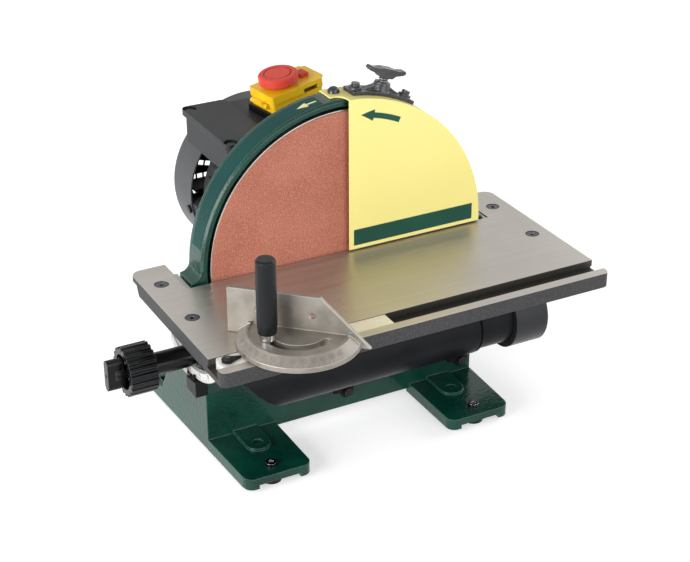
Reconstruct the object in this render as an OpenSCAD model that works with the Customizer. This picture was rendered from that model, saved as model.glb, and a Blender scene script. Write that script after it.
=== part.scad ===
// Benchtop disc sander with a tilting table, a mitre gauge, a disc brake and a fan cooled motor.
// X runs right along the table, Y runs back from the sanding face and Z runs up from the bench.

/* [Disc] */
// Diameter of the sanding disc
disc_d = 304.8; // [290:0.2:320]
// Thickness of the abrasive sheet
abrasive_t = 1.2; // [0.6:0.1:2]
// Thickness of the disc plate
disc_plate_t = 9; // [6:0.5:11]
// Depth of the disc rim, front to back
disc_depth = 20; // [16:0.5:26]
// Radial thickness of the disc rim
disc_rim_t = 8; // [5:0.5:14]
// Diameter of the disc hub
hub_d = 56; // [44:1:70]
// Height of the disc axis above the table top
axis_rise = 6.7; // [0:0.1:12]

/* [Housing] */
// Gap between the disc and the hoop
hoop_clear = 2.6; // [2:0.1:5]
// Radial thickness of the hoop
hoop_wall = 8.5; // [7:0.1:10]
// Gap between the back of the disc rim and the housing back plate
back_gap = 2.8; // [1.5:0.1:6]
// Thickness of the housing back plate
back_t = 7; // [5:0.5:10]
// Radius of the concave blend above each ear
ear_fillet_r = 11; // [6:0.5:16]

/* [Base] */
// Width the base flares by on each side, front to back
base_flare = 10; // [0:0.5:16]
// Depth of the base behind the sanding face
base_rear = 147; // [125:1:180]
// Reach of the front feet before the sanding face
foot_front = 92; // [80:1:110]
// Width of each front foot at the wall
foot_w = 76; // [66:1:90]
// Thickness of the foot plate
foot_plate_t = 8; // [6:0.5:10]
// Depth of the skirt under the foot plate
skirt_h = 5; // [3:0.5:9]
// Thickness of the casting's walls
wall_t = 7; // [5:0.5:10]
// Height of the rear wall's top
rear_top = 24; // [20:1:34]
// Height of a rubber foot
rubber_h = 10; // [8:0.5:14]
// Diameter of a rubber foot
rubber_d = 26; // [22:1:32]
// Diameter of a bench bolt hole
bench_hole_d = 11; // [8:0.5:13]
// Distance between the bench bolts across the base
bench_bolts_x = 242; // [232:1:252]
// Distance between the bench bolts front to back
bench_bolts_y = 193; // [188:1:200]

/* [Dust outlet] */
// Outer diameter of the hose collar
collar_d = 80; // [72:0.5:81]
// Wall of the duct, the outlet tube and the collar
duct_wall = 3; // [2:0.25:4]
// Outer diameter of the outlet tube
outlet_d = 66.6; // [58:0.2:70]
// Length of the outlet tube outside the duct
outlet_l = 45; // [36:1:56]
// Length of the hose collar
collar_l = 41; // [34:1:52]
// Radius of the duct's rounded front
duct_front_r = 36; // [34:0.5:38]
// Distance of the outlet axis before the sanding face
outlet_front = 22; // [18:0.5:24]
// Distance of the outlet axis below the table top
outlet_drop = 113.4; // [111:0.2:120]

/* [Table] */
// Width of a table arm beside the disc housing
arm_w = 39.6; // [36:0.2:50]
// Distance of the table's front edge before the sanding face
table_front = 177.5; // [170:0.5:190]
// Distance of the table arms' rear ends behind the sanding face
table_rear = 58.4; // [52:0.2:64]
// Gap between the table's edge and the sanding face
table_gap = 3.4; // [2:0.1:6]
// Depth of the table's rim
table_t = 16; // [14.5:0.5:18]
// Thickness of the table's skin over its underside pockets
table_skin_t = 9; // [7:0.5:11]
// Height of the table top above the bench
table_height = 208; // [204:1:214]
// Width of the mitre slot
slot_w = 21.2; // [19:0.1:22]
// Depth of the mitre slot
slot_depth = 10; // [9:0.5:11]
// Distance of the mitre slot's middle before the sanding face
slot_front = 155.8; // [150:0.2:158]
// Thickness of a trunnion plate
trunnion_t = 4; // [3:0.5:6]
// Outer radius of the left trunnion
left_trunnion_r = 101.5; // [97:0.5:103]
// Outer radius of the right trunnion
right_trunnion_r = 70; // [62:1:72]

/* [Tilt drive] */
// Tooth module of the pinion and the toothed arc
tooth_module = 1.5; // [1.45:0.05:1.55]
// Diameter of the fluted knob
knob_d = 53; // [44:1:58]
// Length of the fluted knob
knob_l = 30; // [22:1:36]
// Diameter of the sleeve between the trunnion and the knob
sleeve_d = 24; // [20:0.5:26]
// Length of the sleeve outside the trunnion
sleeve_l = 43; // [38:1:50]
// Diameter of the lock rod
lock_rod_d = 8; // [6:0.5:9]
// Length of the lock bar
lock_bar_l = 35; // [28:1:46]

/* [Mitre gauge] */
// Distance of the mitre pivot left of the disc axis
mitre_left = 129; // [60:1:130]
// Turn of the fence from the table's length, in degrees
fence_turn = 43; // [35:1:55]
// Radius of the protractor head
head_r = 60.5; // [56:0.5:66]
// Length of the fence left of its pivot
fence_left = 73; // [66:1:78]
// Length of the fence right of its pivot
fence_right = 70; // [66:1:78]
// Height of the fence
fence_h = 48; // [40:1:56]
// Length of the mitre bar
bar_l = 184; // [172:1:210]
// Length of the handle grip
grip_l = 78; // [68:1:92]
// Diameter of the handle grip
grip_d = 20; // [17:0.5:24]

/* [Guard and brake] */
// Thickness of the guard's sheet
sheet_t = 1.5; // [1:0.1:2]
// Gap between the sanding face and the guard
guard_gap = 6; // [5:0.5:9]
// Left edge of the guard from the disc axis
guard_left = 4.7; // [3:0.1:6]
// Gap between the guard and the table top
guard_lift = 2; // [1:0.1:4]
// Turn of the brake from the top of the hoop, in degrees
brake_turn = 17.9; // [17:0.1:24]
// Travel of the brake plunger
brake_travel = 4.5; // [3:0.1:4.6]
// Length of the brake's T-handle
brake_handle_l = 47; // [36:1:56]

/* [Motor] */
// Distance of the cooling fins inside the cowl's radius
fin_step = 9; // [7:0.5:12]
// Number of cooling fins
fins = 36; // [24:1:44]
// Length of the finned motor body
motor_l = 119; // [112:1:130]
// Outer radius of the fan cowl
cowl_r = 95; // [92:0.5:98]
// Length of the fan cowl
cowl_l = 54; // [50:1:62]
// Diameter of the motor shaft
shaft_d = 20; // [17:0.5:22]
// Width of the terminal box
box_w = 146; // [136:1:156]
// Depth of the terminal box
box_depth = 120; // [100:1:124]
// Height of the terminal box's top above the disc axis
box_rise = 102.3; // [100:0.2:106]

/* [Switch] */
// Length of the switch body
switch_l = 66; // [60:1:74]
// Width of the switch body
switch_w = 44; // [40:1:50]
// Slope of the switch, in degrees
switch_slope = 8; // [4:1:12]
// Turn of the switch seen from above, in degrees
switch_turn = 8; // [0:1:12]
// Diameter of the stop mushroom
mushroom_d = 44; // [36:1:46]

/* [Hidden] */
$fn = 96;

// How far a cut runs past the face that it opens
overrun = 1;
// Gap between pieces that move past each other
run_gap = 0.4;
// Gap round a piece that is held in a hole
fit_gap = 0.15;
// Radial clearance of a shaft that turns or slides in a bore
shaft_gap = 0.05;
// Half of a full turn and a quarter of one
half_turn = 180;
quarter_turn = 90;

// Disc and housing places
disc_r = disc_d / 2;
axis_z = table_height + axis_rise;
disc_back = abrasive_t + disc_depth;
hoop_in_r = disc_r + hoop_clear;
hoop_out_r = hoop_in_r + hoop_wall;
back_front = disc_back + back_gap;
hoop_depth = back_front + back_t;
hub_room = 17;
housing_bore_r = hub_d / 2 + hub_room;
hoop_edge = 2.2;
abrasive_edge = 1.6;
notch_margin = 16.9;
notch_half = hoop_out_r + notch_margin;
trunnion_face = notch_half - run_gap;
trunnion_inner = trunnion_face - trunnion_t;
ear_gap = 1.5;
ear_half = trunnion_inner - ear_gap;
ear_drop = 12;
ear_rise = 2;
ear_root = 4;
shaft_r = shaft_d / 2;
hub_short = 3;
hub_back = hoop_depth - hub_short;
shaft_seat = 3;
shaft_front = abrasive_t + disc_plate_t - shaft_seat;
hub_screw_d = 6;

// Base places
foot_bottom = rubber_h - skirt_h;
foot_top = rubber_h + foot_plate_t;
base_narrow = 2.5;
base_front_half = hoop_out_r - base_narrow;
foot_inner = base_front_half - foot_w;
foot_corner_r = 10;
skirt_t = 5;
tab_w = 14;
tab_rise = 4.6;
boss_r = 14;
boss_h = 3;
boss_front = 32;
front_wall_lift = 8;
front_wall_bottom = foot_bottom + front_wall_lift;
wall_top = table_height - ear_drop;
cheek_margin = 11;
cheek_depth = hoop_depth + cheek_margin;
cheek_run = 29;
cheek_foot = base_rear - cheek_run;
cheek_lean = 22;
cheek_waist_drop = 90;
cheek_shoulder_drop = 38;
rear_bolt_y = bench_bolts_y - boss_front;
rear_pad = 38;
foot_bolt_side = 36;
foot_bolt_x = base_front_half - foot_bolt_side;
skirt_gap = 0.5;
foot_bolt_inset = skirt_t + rubber_d / 2 + skirt_gap;
foot_bolt_front = foot_front - foot_bolt_inset;
foot_bolt_rear = base_rear - wall_t - rear_pad / 2;
foot_bolt_d = 8;
foot_bolt_head_d = 12;
foot_bolt_head_h = 3.5;
foot_bolt_grip = 4;
foot_bolt_reach = rubber_h - foot_bolt_grip;
foot_bolt_key = 6;
rubber_taper = 2;
lug_face = trunnion_inner - run_gap;
lug_r = 15;
lug_lap = 1;
lug_root = wall_t + lug_lap;
pad_step = 3.4;
pad_face = lug_face - pad_step;

// Tilt drive places
pinion_teeth = 12;
arc_teeth = 118;
pressure_angle = 20;
backlash = 0.3;
tooth_tip_share = 0.87;
arc_tip_share = 0.67;
tooth_root_share = 1.25;
tooth_tip = tooth_tip_share * tooth_module;
arc_tip = arc_tip_share * tooth_module;
tooth_root = tooth_root_share * tooth_module;
pinion_r = tooth_module * pinion_teeth / 2;
arc_r = tooth_module * arc_teeth / 2;
pinion_drop = arc_r - pinion_r;
pinion_z = table_height - pinion_drop;
tilt_max = 45;
tilt_margin = 12;
arc_slot_room = 1.6;
arc_slot_in = pinion_drop - pinion_r - tooth_tip - arc_slot_room;
left_guide_r = 45;
right_guide_r = 48;
guide_bolt_d = 10;
guide_slot_gap = 0.4;
slot_end_relief = 0.3;
guide_head_d = 16;
guide_head_h = 6;
scale_t = 0.8;
scale_edge = 0.7;
scale_rear_turn = 30;
scale_front_turn = 60;
scale_in = arc_r + tooth_root + scale_edge;
scale_out = left_trunnion_r - scale_edge;
trunnion_front = 85;
trunnion_rear = 52;
strip_rear = 35;
strip_front = 2.4;
strip_drop = 1;
flange_t = 6;
flange_front = 76;
flange_rear = 31;
screw_front_y = -62;
screw_rear_y = 18;
arm_mid = notch_half + arm_w / 2;
flange_lip = 13;
flange_out = arm_mid + flange_lip;
sleeve_step = 2;
sleeve_in = trunnion_face + sleeve_step;
sleeve_out = sleeve_in + sleeve_l;
knob_out = sleeve_out + knob_l;
sleeve_shoulder = 2;
spigot_d = sleeve_d - 2 * sleeve_shoulder;
spigot_l = knob_l / 2;
journal_wall = 2;
journal_d = lock_rod_d + 2 * journal_wall;
journal_l = 7;
knob_flutes = 20;
flute_r = 2.6;
knob_rim = 7.5;
knob_recess_d = knob_d - 2 * knob_rim;
knob_recess = 10;
washer_d = 27;
washer_t = 2.5;
bar_hub_d = 15;
bar_gap = 1;
lock_bar_t = 17;
lock_bar_w = 11;
lock_out = knob_out + bar_gap + lock_bar_t;
washer_out = knob_out - knob_recess + run_gap + washer_t;
lock_rod_in = base_front_half - wall_t;
block_front = 25;
block_back = 1;
block_h = 15.5;
block_low = table_height - left_trunnion_r - block_h;
pointer_turn = 8;
pointer_tip = 5;
pointer_w = 6;
pointer_t = 2.5;
block_t = 14;
block_lap = 4;
strap_w = 15;
strap_t = 1.8;
strap_y = 12;
strap_drop = 9.5;
strap_z = table_height - left_trunnion_r - strap_drop;
strap_h = 17;
strap_room = 1.2;
strap_hook = 5;
strap_screw_d = 6;
strap_screw_l = 9;
strap_screw_head_d = 10;
strap_screw_head_h = 4;
pad_front = block_front - lug_root;
pad_back = strap_y + strap_w / 2 + strap_t;
pad_high = table_height - left_trunnion_r - strap_hook;
pad_low = strap_z - strap_screw_head_d;

// Table places
table_half = notch_half + arm_w;
table_bottom = table_height - table_t;
rear_corner_r = 12;
front_corner_r = 7;
edge_land = 1.5;
arm_thin_t = 5.5;
arm_thin_l = 20;
arm_slope = 6;
pocket_rib = 12;
pocket_front = slot_front - slot_w / 2 - pocket_rib;
pocket_rear = 34;
pocket_r = 10;
undercut = 2;
undercut_w = slot_w + 2 * undercut;
undercut_h = 3;
screw_head_d = 15;
screw_d = 8;
key_share = 0.62;
screw_sink = 0.4;

// Mitre gauge places
mitre_x = -mitre_left;
mitre_y = -slot_front;
bar_gap_side = 0.25;
bar_drop = 0.5;
bar_w = slot_w - 2 * bar_gap_side;
bar_h = slot_depth - bar_drop - run_gap;
bar_lip_w = undercut_w - 2 * bar_gap_side;
bar_lip_h = undercut_h - 2 * run_gap;
bar_right = 99;
bar_left = bar_l - bar_right;
head_lift = 0.4;
head_t = 12;
head_z = table_height + head_lift;
head_scale_w = 9.5;
head_scale_in = head_r - head_scale_w;
head_scale_low = 5;
head_scale_high = 13;
head_ridge = 2.5;
head_slot_r = 33.5;
head_slot_half = 68;
stud_d = 8;
stud_gap = 0.8;
stud_depth = 6;
fence_t = 4.4;
fence_back = 2.7;
fence_top_share = 0.29;
fence_hole_share = 0.176;
fence_hole_d = 7;
fence_far_share = 0.6;
fence_hole_rise_share = 0.58;
pivot_d = 8;
mitre_pointer_t = 2.5;
mitre_pointer_l = 14;
mitre_pointer_r = 6;
pivot_cap = 3;
rib_w = 4;
rib_h = 1.6;
bar_end_r = 8;
ferrule_d = 16;
ferrule_h = 6.5;
ferrule_gap = 0.4;
grip_foot_share = 0.9;
grip_waist_share = 0.12;
grip_round = 2;

// Guard and brake places
guard_fit = 0.3;
guard_rim_in = hoop_out_r + guard_fit;
guard_rim_out = guard_rim_in + sheet_t;
guard_face = -guard_gap;
guard_rim_lap = 2;
guard_rim_back = hoop_depth + guard_rim_lap;
guard_tab = 9;
guard_tab_l = 24;
guard_tab_r = 11;
guard_screw_turn = 0.4;
guard_screw_d = 6;
guard_screw_head_d = 13;
guard_screw_y = guard_rim_back - guard_tab_l / 2;
brake_back = 2;
brake_y = abrasive_t + disc_depth / 2 + brake_back;
bracket_t = 4;
bracket_w = 22;
bracket_half = 13;
bracket_seat = guard_rim_out + fit_gap;
lug_pad_d = 14;
lug_pad_h = 2.5;
brake_pad_d = 12;
brake_pad_h = 6;
brake_end_gap = 0.3;
brake_rest_gap = brake_travel + brake_end_gap;
brake_pad_r = disc_r + brake_rest_gap;
brake_rod_d = 8;
boss_low_r = 11;
boss_high_r = 8.5;
brake_boss_h = 13;
brake_boss_top = bracket_seat + brake_boss_h;
brake_neck = 5;
brake_spring_d = 1.1;
brake_spring_turns = 5;
spring_seat_r = 6.2;
brake_handle_d = 10;
handle_rise_shares = [[1, 0.5], [0.9, 1], [0.55, 0.8], [0.26, 1.05]];
handle_drop_shares = [[0.3, -1], [0.46, -0.35], [0.86, 0]];
handle_half = 7;
handle_end_half = 4;
brake_handle_r = brake_boss_top + brake_neck + brake_handle_d / 2;
spring_low = bracket_seat + bracket_t;
spring_high = brake_handle_r - brake_handle_d / 2;
brake_screw_turn = 10.4;
brake_screw_d = 5;
brake_screw_head_d = 9;
brake_screw_head_h = 4;
brake_screw_seat = bracket_seat + bracket_t + lug_pad_h;
gusset_t = 8;
gusset_half = 26;

// Dust duct places
outlet_z = table_height - outlet_drop;
outlet_y = -outlet_front;
duct_overlap = 13.5;
duct_r = hoop_out_r + duct_overlap;
duct_trim = 2;
duct_bottom = axis_z - duct_r + duct_trim;
duct_left = hoop_out_r - duct_overlap;
duct_short = 21.5;
duct_right = hoop_out_r - duct_short;
outlet_inset = 6;
outlet_bead = 2.2;
outlet_gap = outlet_bead + run_gap;
outlet_bead_l = 4;
duct_lip = 14;
duct_flange_t = 4;
outlet_x = duct_right;
collar_x = outlet_x + outlet_l;
outlet_end = collar_x + collar_l;
collar_lap = 4;
duct_screw_d = 5;
duct_screw_head_d = 10;
duct_screw_head_h = 4;
duct_screw_drop = 5.6;
duct_ear_r = 8;
duct_screw_shares = [1.06, 0.02, -0.48];

// Motor places
bearing_w = 14;
bell_front_t = 5;
bell_t = bell_front_t + bearing_w;
fin_r = cowl_r - fin_step;
bell_step = 6;
bell_r = fin_r - bell_step;
motor_front = hoop_depth + bell_t;
motor_rear = motor_front + motor_l;
rear_wall_t = 3;
rear_bell_t = bearing_w + rear_wall_t;
rear_bell_back = motor_rear + rear_bell_t;
fin_h = 12;
core_r = fin_r - fin_h;
motor_wall = 6;
motor_bore_r = core_r - motor_wall;
fin_t = 3;
bearing_room = 13.5;
bearing_d = shaft_d + 2 * bearing_room;
seal_room = 4;
seal_r = shaft_r + seal_room;
stator_end = 16;
stator_front = motor_front + stator_end;
stator_back = motor_rear - stator_end;
rotor_share = 0.62;
rotor_r = motor_bore_r * rotor_share;
air_gap = 0.4;
cowl_t = 2;
cowl_corner = 6;
cowl_set = 2;
cowl_front = rear_bell_back + cowl_set;
cowl_back = cowl_front + cowl_l;
cowl_slots = 24;
cowl_slot_w = 6;
cowl_slot_in = 36;
cowl_edge = 15;
cowl_slot_out = cowl_r - cowl_edge;
cowl_lug_w = 16;
cowl_lug_turn = 10;
cowl_lug_lap = 12;
cowl_lug_front = motor_rear + rear_bell_t / 2;
cowl_lug_back = cowl_front + cowl_lug_lap;
cowl_screw_d = 5;
cowl_screw_head_d = 10;
cowl_screw_head_h = 3;
fan_room = 12;
fan_r = cowl_r - fan_room;
fan_hub_wall = 7;
fan_hub_d = shaft_d + 2 * fan_hub_wall;
fan_front = cowl_lug_back + cowl_set;
fan_back = cowl_back - fan_room;
fan_blades = 8;
fan_blade_t = 3;
shaft_back = fan_back + cowl_set;
flange_bolt_inset = 15;
flange_bolt_r = bell_r - flange_bolt_inset;
flange_bolt_d = 8;
flange_bolt_head_d = 13;
flange_bolt_head_h = 6;
flange_bolt_l = 14;

// Terminal box places
box_top = axis_z + box_rise;
box_left = 98;
box_right = box_w - box_left;
box_gap = 0.6;
box_rear = cowl_front - box_gap;
box_front = box_rear - box_depth;
box_h = 30;
box_r = 7;
neck_half = 45;
neck_drop = 30;
neck_inset = 12;
lid_lap = 3;
lid_t = 3;
lid_raise = 4;
lid_step = 54;
lid_boss_r = 5;
lid_screw_d = 5;
lid_screw_h = 2;
gland_thread_d = 16;
gland_neck_d = 21;
gland_nut_d = 27;
gland_bore_d = 11;
gland_l = 20;
gland_nut_l = 8;
gland_share = 0.72;
gland_y = box_front + box_depth * gland_share;

// Switch places
lid_low_top = box_top + lid_t;
switch_x = 6;
switch_set = 50;
switch_y = cowl_front - switch_set;
switch_base_low = 7.5;
switch_rim = 3;
switch_base_l = switch_l + 2 * switch_rim;
switch_base_w = switch_w + 2 * switch_rim;
switch_body_h = 10;
switch_wall = 3;
switch_floor = 3;
switch_r = 3;
cover_h = 10;
cover_t = 2.5;
cover_lap = 1;
cover_gap = 0.4;
hinge_d = 6;
hinge_set = 2;
knuckle_d = 5.2;
hinge_w = 18;
knuckle_w = 6;
button_d = 15;
button_gap = 0.4;
button_head = 3.5;
button_travel = 2;
button_share = 0.25;
mushroom_shift = 8;
mushroom_h = 10.5;
mushroom_dome = 1.5;
mushroom_ring_shares = [0.64, 0.72];
mushroom_groove = 0.8;
mushroom_stem_d = 22;
mushroom_gap = 3.4;
mushroom_bore = 0.05;
latch_w = 14;
latch_l = 10;
latch_h = 4;
latch_set = 7;
cover_lip = 5;
cover_lip_t = 2;
window_shares = [0.62, 0.9];
window_h = 5;

// Middle of the footprint, which is the origin of the finished part
left_end = -lock_out;
right_end = max(table_half, outlet_end);
front_end = -max(table_front, slot_front + head_r);
rear_end = cowl_back;
origin_x = (left_end + right_end) / 2;
origin_y = (front_end + rear_end) / 2;

module placed() {
    translate([-origin_x, -origin_y, 0]) children();
}

// Extrusions of an outline drawn across each axis
module along_x(x0, x1) {
    translate([x0, 0, 0]) rotate([quarter_turn, 0, quarter_turn]) linear_extrude(x1 - x0) children();
}
module along_y(y0, y1) {
    translate([0, y1, 0]) rotate([quarter_turn, 0, 0]) linear_extrude(y1 - y0) children();
}
module along_z(z0, z1) {
    translate([0, 0, z0]) linear_extrude(z1 - z0) children();
}
module rod_x(x0, x1, d, y, z) {
    translate([x0, y, z]) rotate([0, quarter_turn, 0]) cylinder(h = x1 - x0, d = d);
}
module rod_y(y0, y1, d, x, z) {
    translate([x, y0, z]) rotate([-quarter_turn, 0, 0]) cylinder(h = y1 - y0, d = d);
}
module rod_z(z0, z1, d, x, y) {
    translate([x, y, z0]) cylinder(h = z1 - z0, d = d);
}
// A box between two corners
module block(low, high) {
    translate(low) cube(high - low);
}
// A ring or disc turned about the disc axis, drawn as radius across and depth up
module turned() {
    translate([0, 0, axis_z]) rotate([-quarter_turn, 0, 0]) rotate_extrude() children();
}
// A rectangle between two corners
module rect(low, high) {
    translate(low) square(high - low);
}
module round_rect(low, high, r) {
    rect([low[0] + r, low[1]], [high[0] - r, high[1]]);
    rect([low[0], low[1] + r], [high[0], high[1] - r]);
    for (x = [low[0] + r, high[0] - r])
        for (y = [low[1] + r, high[1] - r])
            translate([x, y]) circle(r);
}
module both_sides() {
    children();
    mirror([1, 0, 0]) children();
}
// A frame whose Z points away from the disc axis, at a turn from the top
module radial(turn, y) {
    translate([0, y, axis_z]) rotate([0, turn, 0]) children();
}

// Base
function base_half(y) = base_front_half + base_flare * (y + foot_front) / (base_rear + foot_front);

module base_plan(inset, front, rear) {
    polygon([
        [-base_half(front) + inset, front], [base_half(front) - inset, front],
        [base_half(rear) - inset, rear], [-base_half(rear) + inset, rear]
    ]);
}
module foot_plan(inset) {
    r = foot_corner_r - inset;
    low = [foot_inner + inset, inset - foot_front];
    high = [base_front_half - inset, inset - foot_front];
    difference() {
        polygon([low, high, [base_half(wall_t) - inset, wall_t], [foot_inner + inset, wall_t]]);
        rect(low - [overrun, overrun], low + [r, r]);
        rect([high[0] - r, high[1] - overrun], [high[0] + foot_w, high[1] + r]);
    }
    for (corner = [low + [r, r], high + [-r, r]])
        translate(corner) circle(r);
}
module foot() {
    difference() {
        union() {
            along_z(foot_bottom, foot_top) foot_plan(0);
            along_z(foot_top - foot_plate_t, foot_top + boss_h) {
                translate([bench_bolts_x / 2, -boss_front]) circle(boss_r);
                rect([bench_bolts_x / 2 - boss_r, -boss_front], [bench_bolts_x / 2 + boss_r, wall_t]);
            }
        }
        along_z(foot_bottom - overrun, foot_top - foot_plate_t) foot_plan(skirt_t);
        block([foot_inner + tab_w, -foot_front - overrun, foot_bottom - overrun],
              [base_front_half - tab_w, skirt_t - foot_front + overrun, foot_bottom + tab_rise]);
        rod_z(foot_bottom - overrun, foot_top + boss_h + overrun, bench_hole_d, bench_bolts_x / 2, -boss_front);
        rod_z(foot_bottom - overrun, foot_top + overrun, foot_bolt_d + 2 * fit_gap, foot_bolt_x, -foot_bolt_front);
    }
}
module rear_foot() {
    difference() {
        along_z(foot_top - foot_plate_t, foot_top) {
            translate([bench_bolts_x / 2, rear_bolt_y]) circle(boss_r);
            rect([bench_bolts_x / 2 - boss_r, base_rear - wall_t], [bench_bolts_x / 2 + boss_r, rear_bolt_y]);
            rect([foot_bolt_x - rear_pad / 2, base_rear - wall_t - rear_pad],
                 [base_front_half, base_rear - wall_t / 2]);
        }
        rod_z(foot_bottom, foot_top + overrun, bench_hole_d, bench_bolts_x / 2, rear_bolt_y);
        rod_z(foot_bottom, foot_top + overrun, foot_bolt_d + 2 * fit_gap, foot_bolt_x, foot_bolt_rear);
    }
}
// Side of the walls, which slope down behind the disc housing to a low rear
module cheek_outline() {
    polygon([
        [0, foot_bottom], [base_rear, foot_bottom], [base_rear, rear_top], [cheek_foot, rear_top],
        [cheek_depth + cheek_lean, table_height - cheek_waist_drop],
        [cheek_depth, table_height - cheek_shoulder_drop], [cheek_depth, wall_top], [0, wall_top]
    ]);
}
module base_walls() {
    difference() {
        intersection() {
            along_z(foot_bottom, wall_top) base_plan(0, 0, base_rear);
            along_x(-base_half(base_rear), base_half(base_rear)) cheek_outline();
        }
        along_z(foot_bottom - overrun, wall_top + overrun) base_plan(wall_t, wall_t, base_rear - wall_t);
        block([-foot_inner, -overrun, foot_bottom - overrun], [foot_inner, wall_t + overrun, front_wall_bottom]);
    }
}
// Lugs on the side walls that carry the guide bolts and the tilt drive
module wall_lug(drop, face) {
    rod_x(base_front_half - wall_t, face, 2 * lug_r, 0, table_height - drop);
    block([base_front_half - lug_root, 0, table_height - drop - lug_r],
          [face, wall_t + lug_r, table_height - drop + lug_r]);
}
module base_casting() {
    color("darkgreen") difference() {
        union() {
            both_sides() foot();
            both_sides() rear_foot();
            base_walls();
            mirror([1, 0, 0]) wall_lug(pinion_drop, lug_face);
            mirror([1, 0, 0]) wall_lug(left_guide_r, lug_face);
            wall_lug(right_guide_r, lug_face);
            block([-pad_face, -pad_front, pad_low], [lug_root - base_front_half, pad_back, pad_high]);
        }
        rod_y(-overrun, hoop_depth + fit_gap, 2 * (hoop_out_r + fit_gap), 0, axis_z);
        rod_x(-lug_face - overrun, -lug_face + journal_l + run_gap, journal_d + 2 * shaft_gap, 0, pinion_z);
        rod_x(-lug_face, -lock_rod_in + lug_r, lock_rod_d + 2 * shaft_gap, 0, pinion_z);
        rod_x(-lug_face - overrun, -lock_rod_in + lug_r, guide_bolt_d + 2 * fit_gap, 0, table_height - left_guide_r);
        rod_x(lock_rod_in - lug_r, lug_face + overrun, guide_bolt_d + 2 * fit_gap, 0, table_height - right_guide_r);
        rod_x(-pad_face - overrun, -pad_face + strap_screw_l, strap_screw_d + 2 * fit_gap, strap_y, strap_z);
        rod_x(outlet_x - outlet_inset, lug_face, outlet_d + 2 * outlet_gap, outlet_y, outlet_z);
        duct_screw_places() rod_y(-overrun, wall_t + overrun, duct_screw_d + 2 * fit_gap, 0, 0);
    }
}
module rubber_feet() {
    color("black") both_sides() for (y = [-foot_bolt_front, foot_bolt_rear])
        difference() {
            translate([foot_bolt_x, y, 0]) cylinder(h = rubber_h, d1 = rubber_d - 2 * rubber_taper, d2 = rubber_d);
            rod_z(foot_bolt_reach - fit_gap, rubber_h + overrun, foot_bolt_d + 2 * fit_gap, foot_bolt_x, y);
        }
}
module foot_bolts() {
    color("dimgray") both_sides() for (y = [-foot_bolt_front, foot_bolt_rear])
        difference() {
            union() {
                rod_z(foot_bolt_reach, foot_top, foot_bolt_d, foot_bolt_x, y);
                rod_z(foot_top, foot_top + foot_bolt_head_h, foot_bolt_head_d, foot_bolt_x, y);
            }
            translate([foot_bolt_x, y, foot_top + foot_bolt_head_h / 2])
                cylinder(h = foot_bolt_head_h, d = foot_bolt_key, $fn = 6);
        }
}

// Disc housing
module ear_outline() {
    top = table_height + ear_rise;
    difference() {
        rect([hoop_out_r - ear_root, wall_top], [ear_half, top + ear_fillet_r]);
        translate([ear_half, top + ear_fillet_r]) circle(ear_fillet_r);
    }
}
module disc_housing() {
    color("darkgreen") difference() {
        union() {
            turned() polygon([
                [hoop_in_r, hoop_edge], [hoop_in_r + hoop_edge, 0], [hoop_out_r - hoop_edge, 0], [hoop_out_r, hoop_edge], [hoop_out_r, hoop_depth],
                [housing_bore_r, hoop_depth], [housing_bore_r, back_front], [hoop_in_r, back_front]
            ]);
            along_y(0, hoop_depth) both_sides() ear_outline();
        }
        radial(brake_turn, brake_y) cylinder(h = bracket_seat, d = brake_pad_d + 2 * run_gap);
        radial(guard_screw_turn, guard_screw_y)
            translate([0, 0, hoop_in_r]) cylinder(h = hoop_wall + overrun, d = guard_screw_d + 2 * fit_gap);
        for (turn = [-brake_screw_turn, brake_screw_turn])
            radial(brake_turn + turn, brake_y)
                translate([0, 0, hoop_in_r]) cylinder(h = hoop_wall + overrun, d = brake_screw_d + 2 * fit_gap);
        flange_bolt_places() rod_y(back_front - overrun, hoop_depth + overrun, flange_bolt_d + 2 * fit_gap, 0, 0);
    }
}
module flange_bolt_places() {
    for (turn = [1 : 2 : 7])
        translate([0, 0, axis_z]) rotate([0, turn * quarter_turn / 2, 0])
            translate([flange_bolt_r, 0, 0]) children();
}
module flange_bolts() {
    color("dimgray") flange_bolt_places() {
        rod_y(back_front - flange_bolt_head_h, back_front, flange_bolt_head_d, 0, 0);
        rod_y(back_front, hoop_depth + flange_bolt_l, flange_bolt_d, 0, 0);
    }
}

// Sanding disc
module sanding_disc() {
    plate_back = abrasive_t + disc_plate_t;
    color("silver") difference() {
        turned() polygon([
            [0, abrasive_t], [disc_r, abrasive_t], [disc_r, disc_back], [disc_r - disc_rim_t, disc_back],
            [disc_r - disc_rim_t, plate_back], [hub_d / 2, plate_back], [hub_d / 2, hub_back], [0, hub_back]
        ]);
        rod_y(shaft_front - fit_gap, hub_back + overrun, shaft_d + 2 * fit_gap, 0, axis_z);
        rod_z(axis_z, axis_z + hub_d, hub_screw_d + 2 * fit_gap, 0, (plate_back + hub_back) / 2);
    }
}
module abrasive_sheet() {
    color("rosybrown") rod_y(0, abrasive_t, disc_d - 2 * abrasive_edge, 0, axis_z);
}
module hub_screw() {
    color("dimgray") rod_z(axis_z + shaft_r, axis_z + hub_d / 2 - hub_screw_d / 2, hub_screw_d,
                           0, (abrasive_t + disc_plate_t + hub_back) / 2);
}

// Dust duct, whose left end follows the disc and whose front is rolled towards the outlet
function duct_lip_z(inset) = outlet_z + outlet_front - duct_lip + (duct_front_r - inset) * sqrt(2);
function duct_screw_z(x) = x > 0
    ? duct_bottom - duct_screw_drop
    : axis_z - sqrt(pow(duct_r + duct_screw_drop, 2) - x * x);

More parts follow.
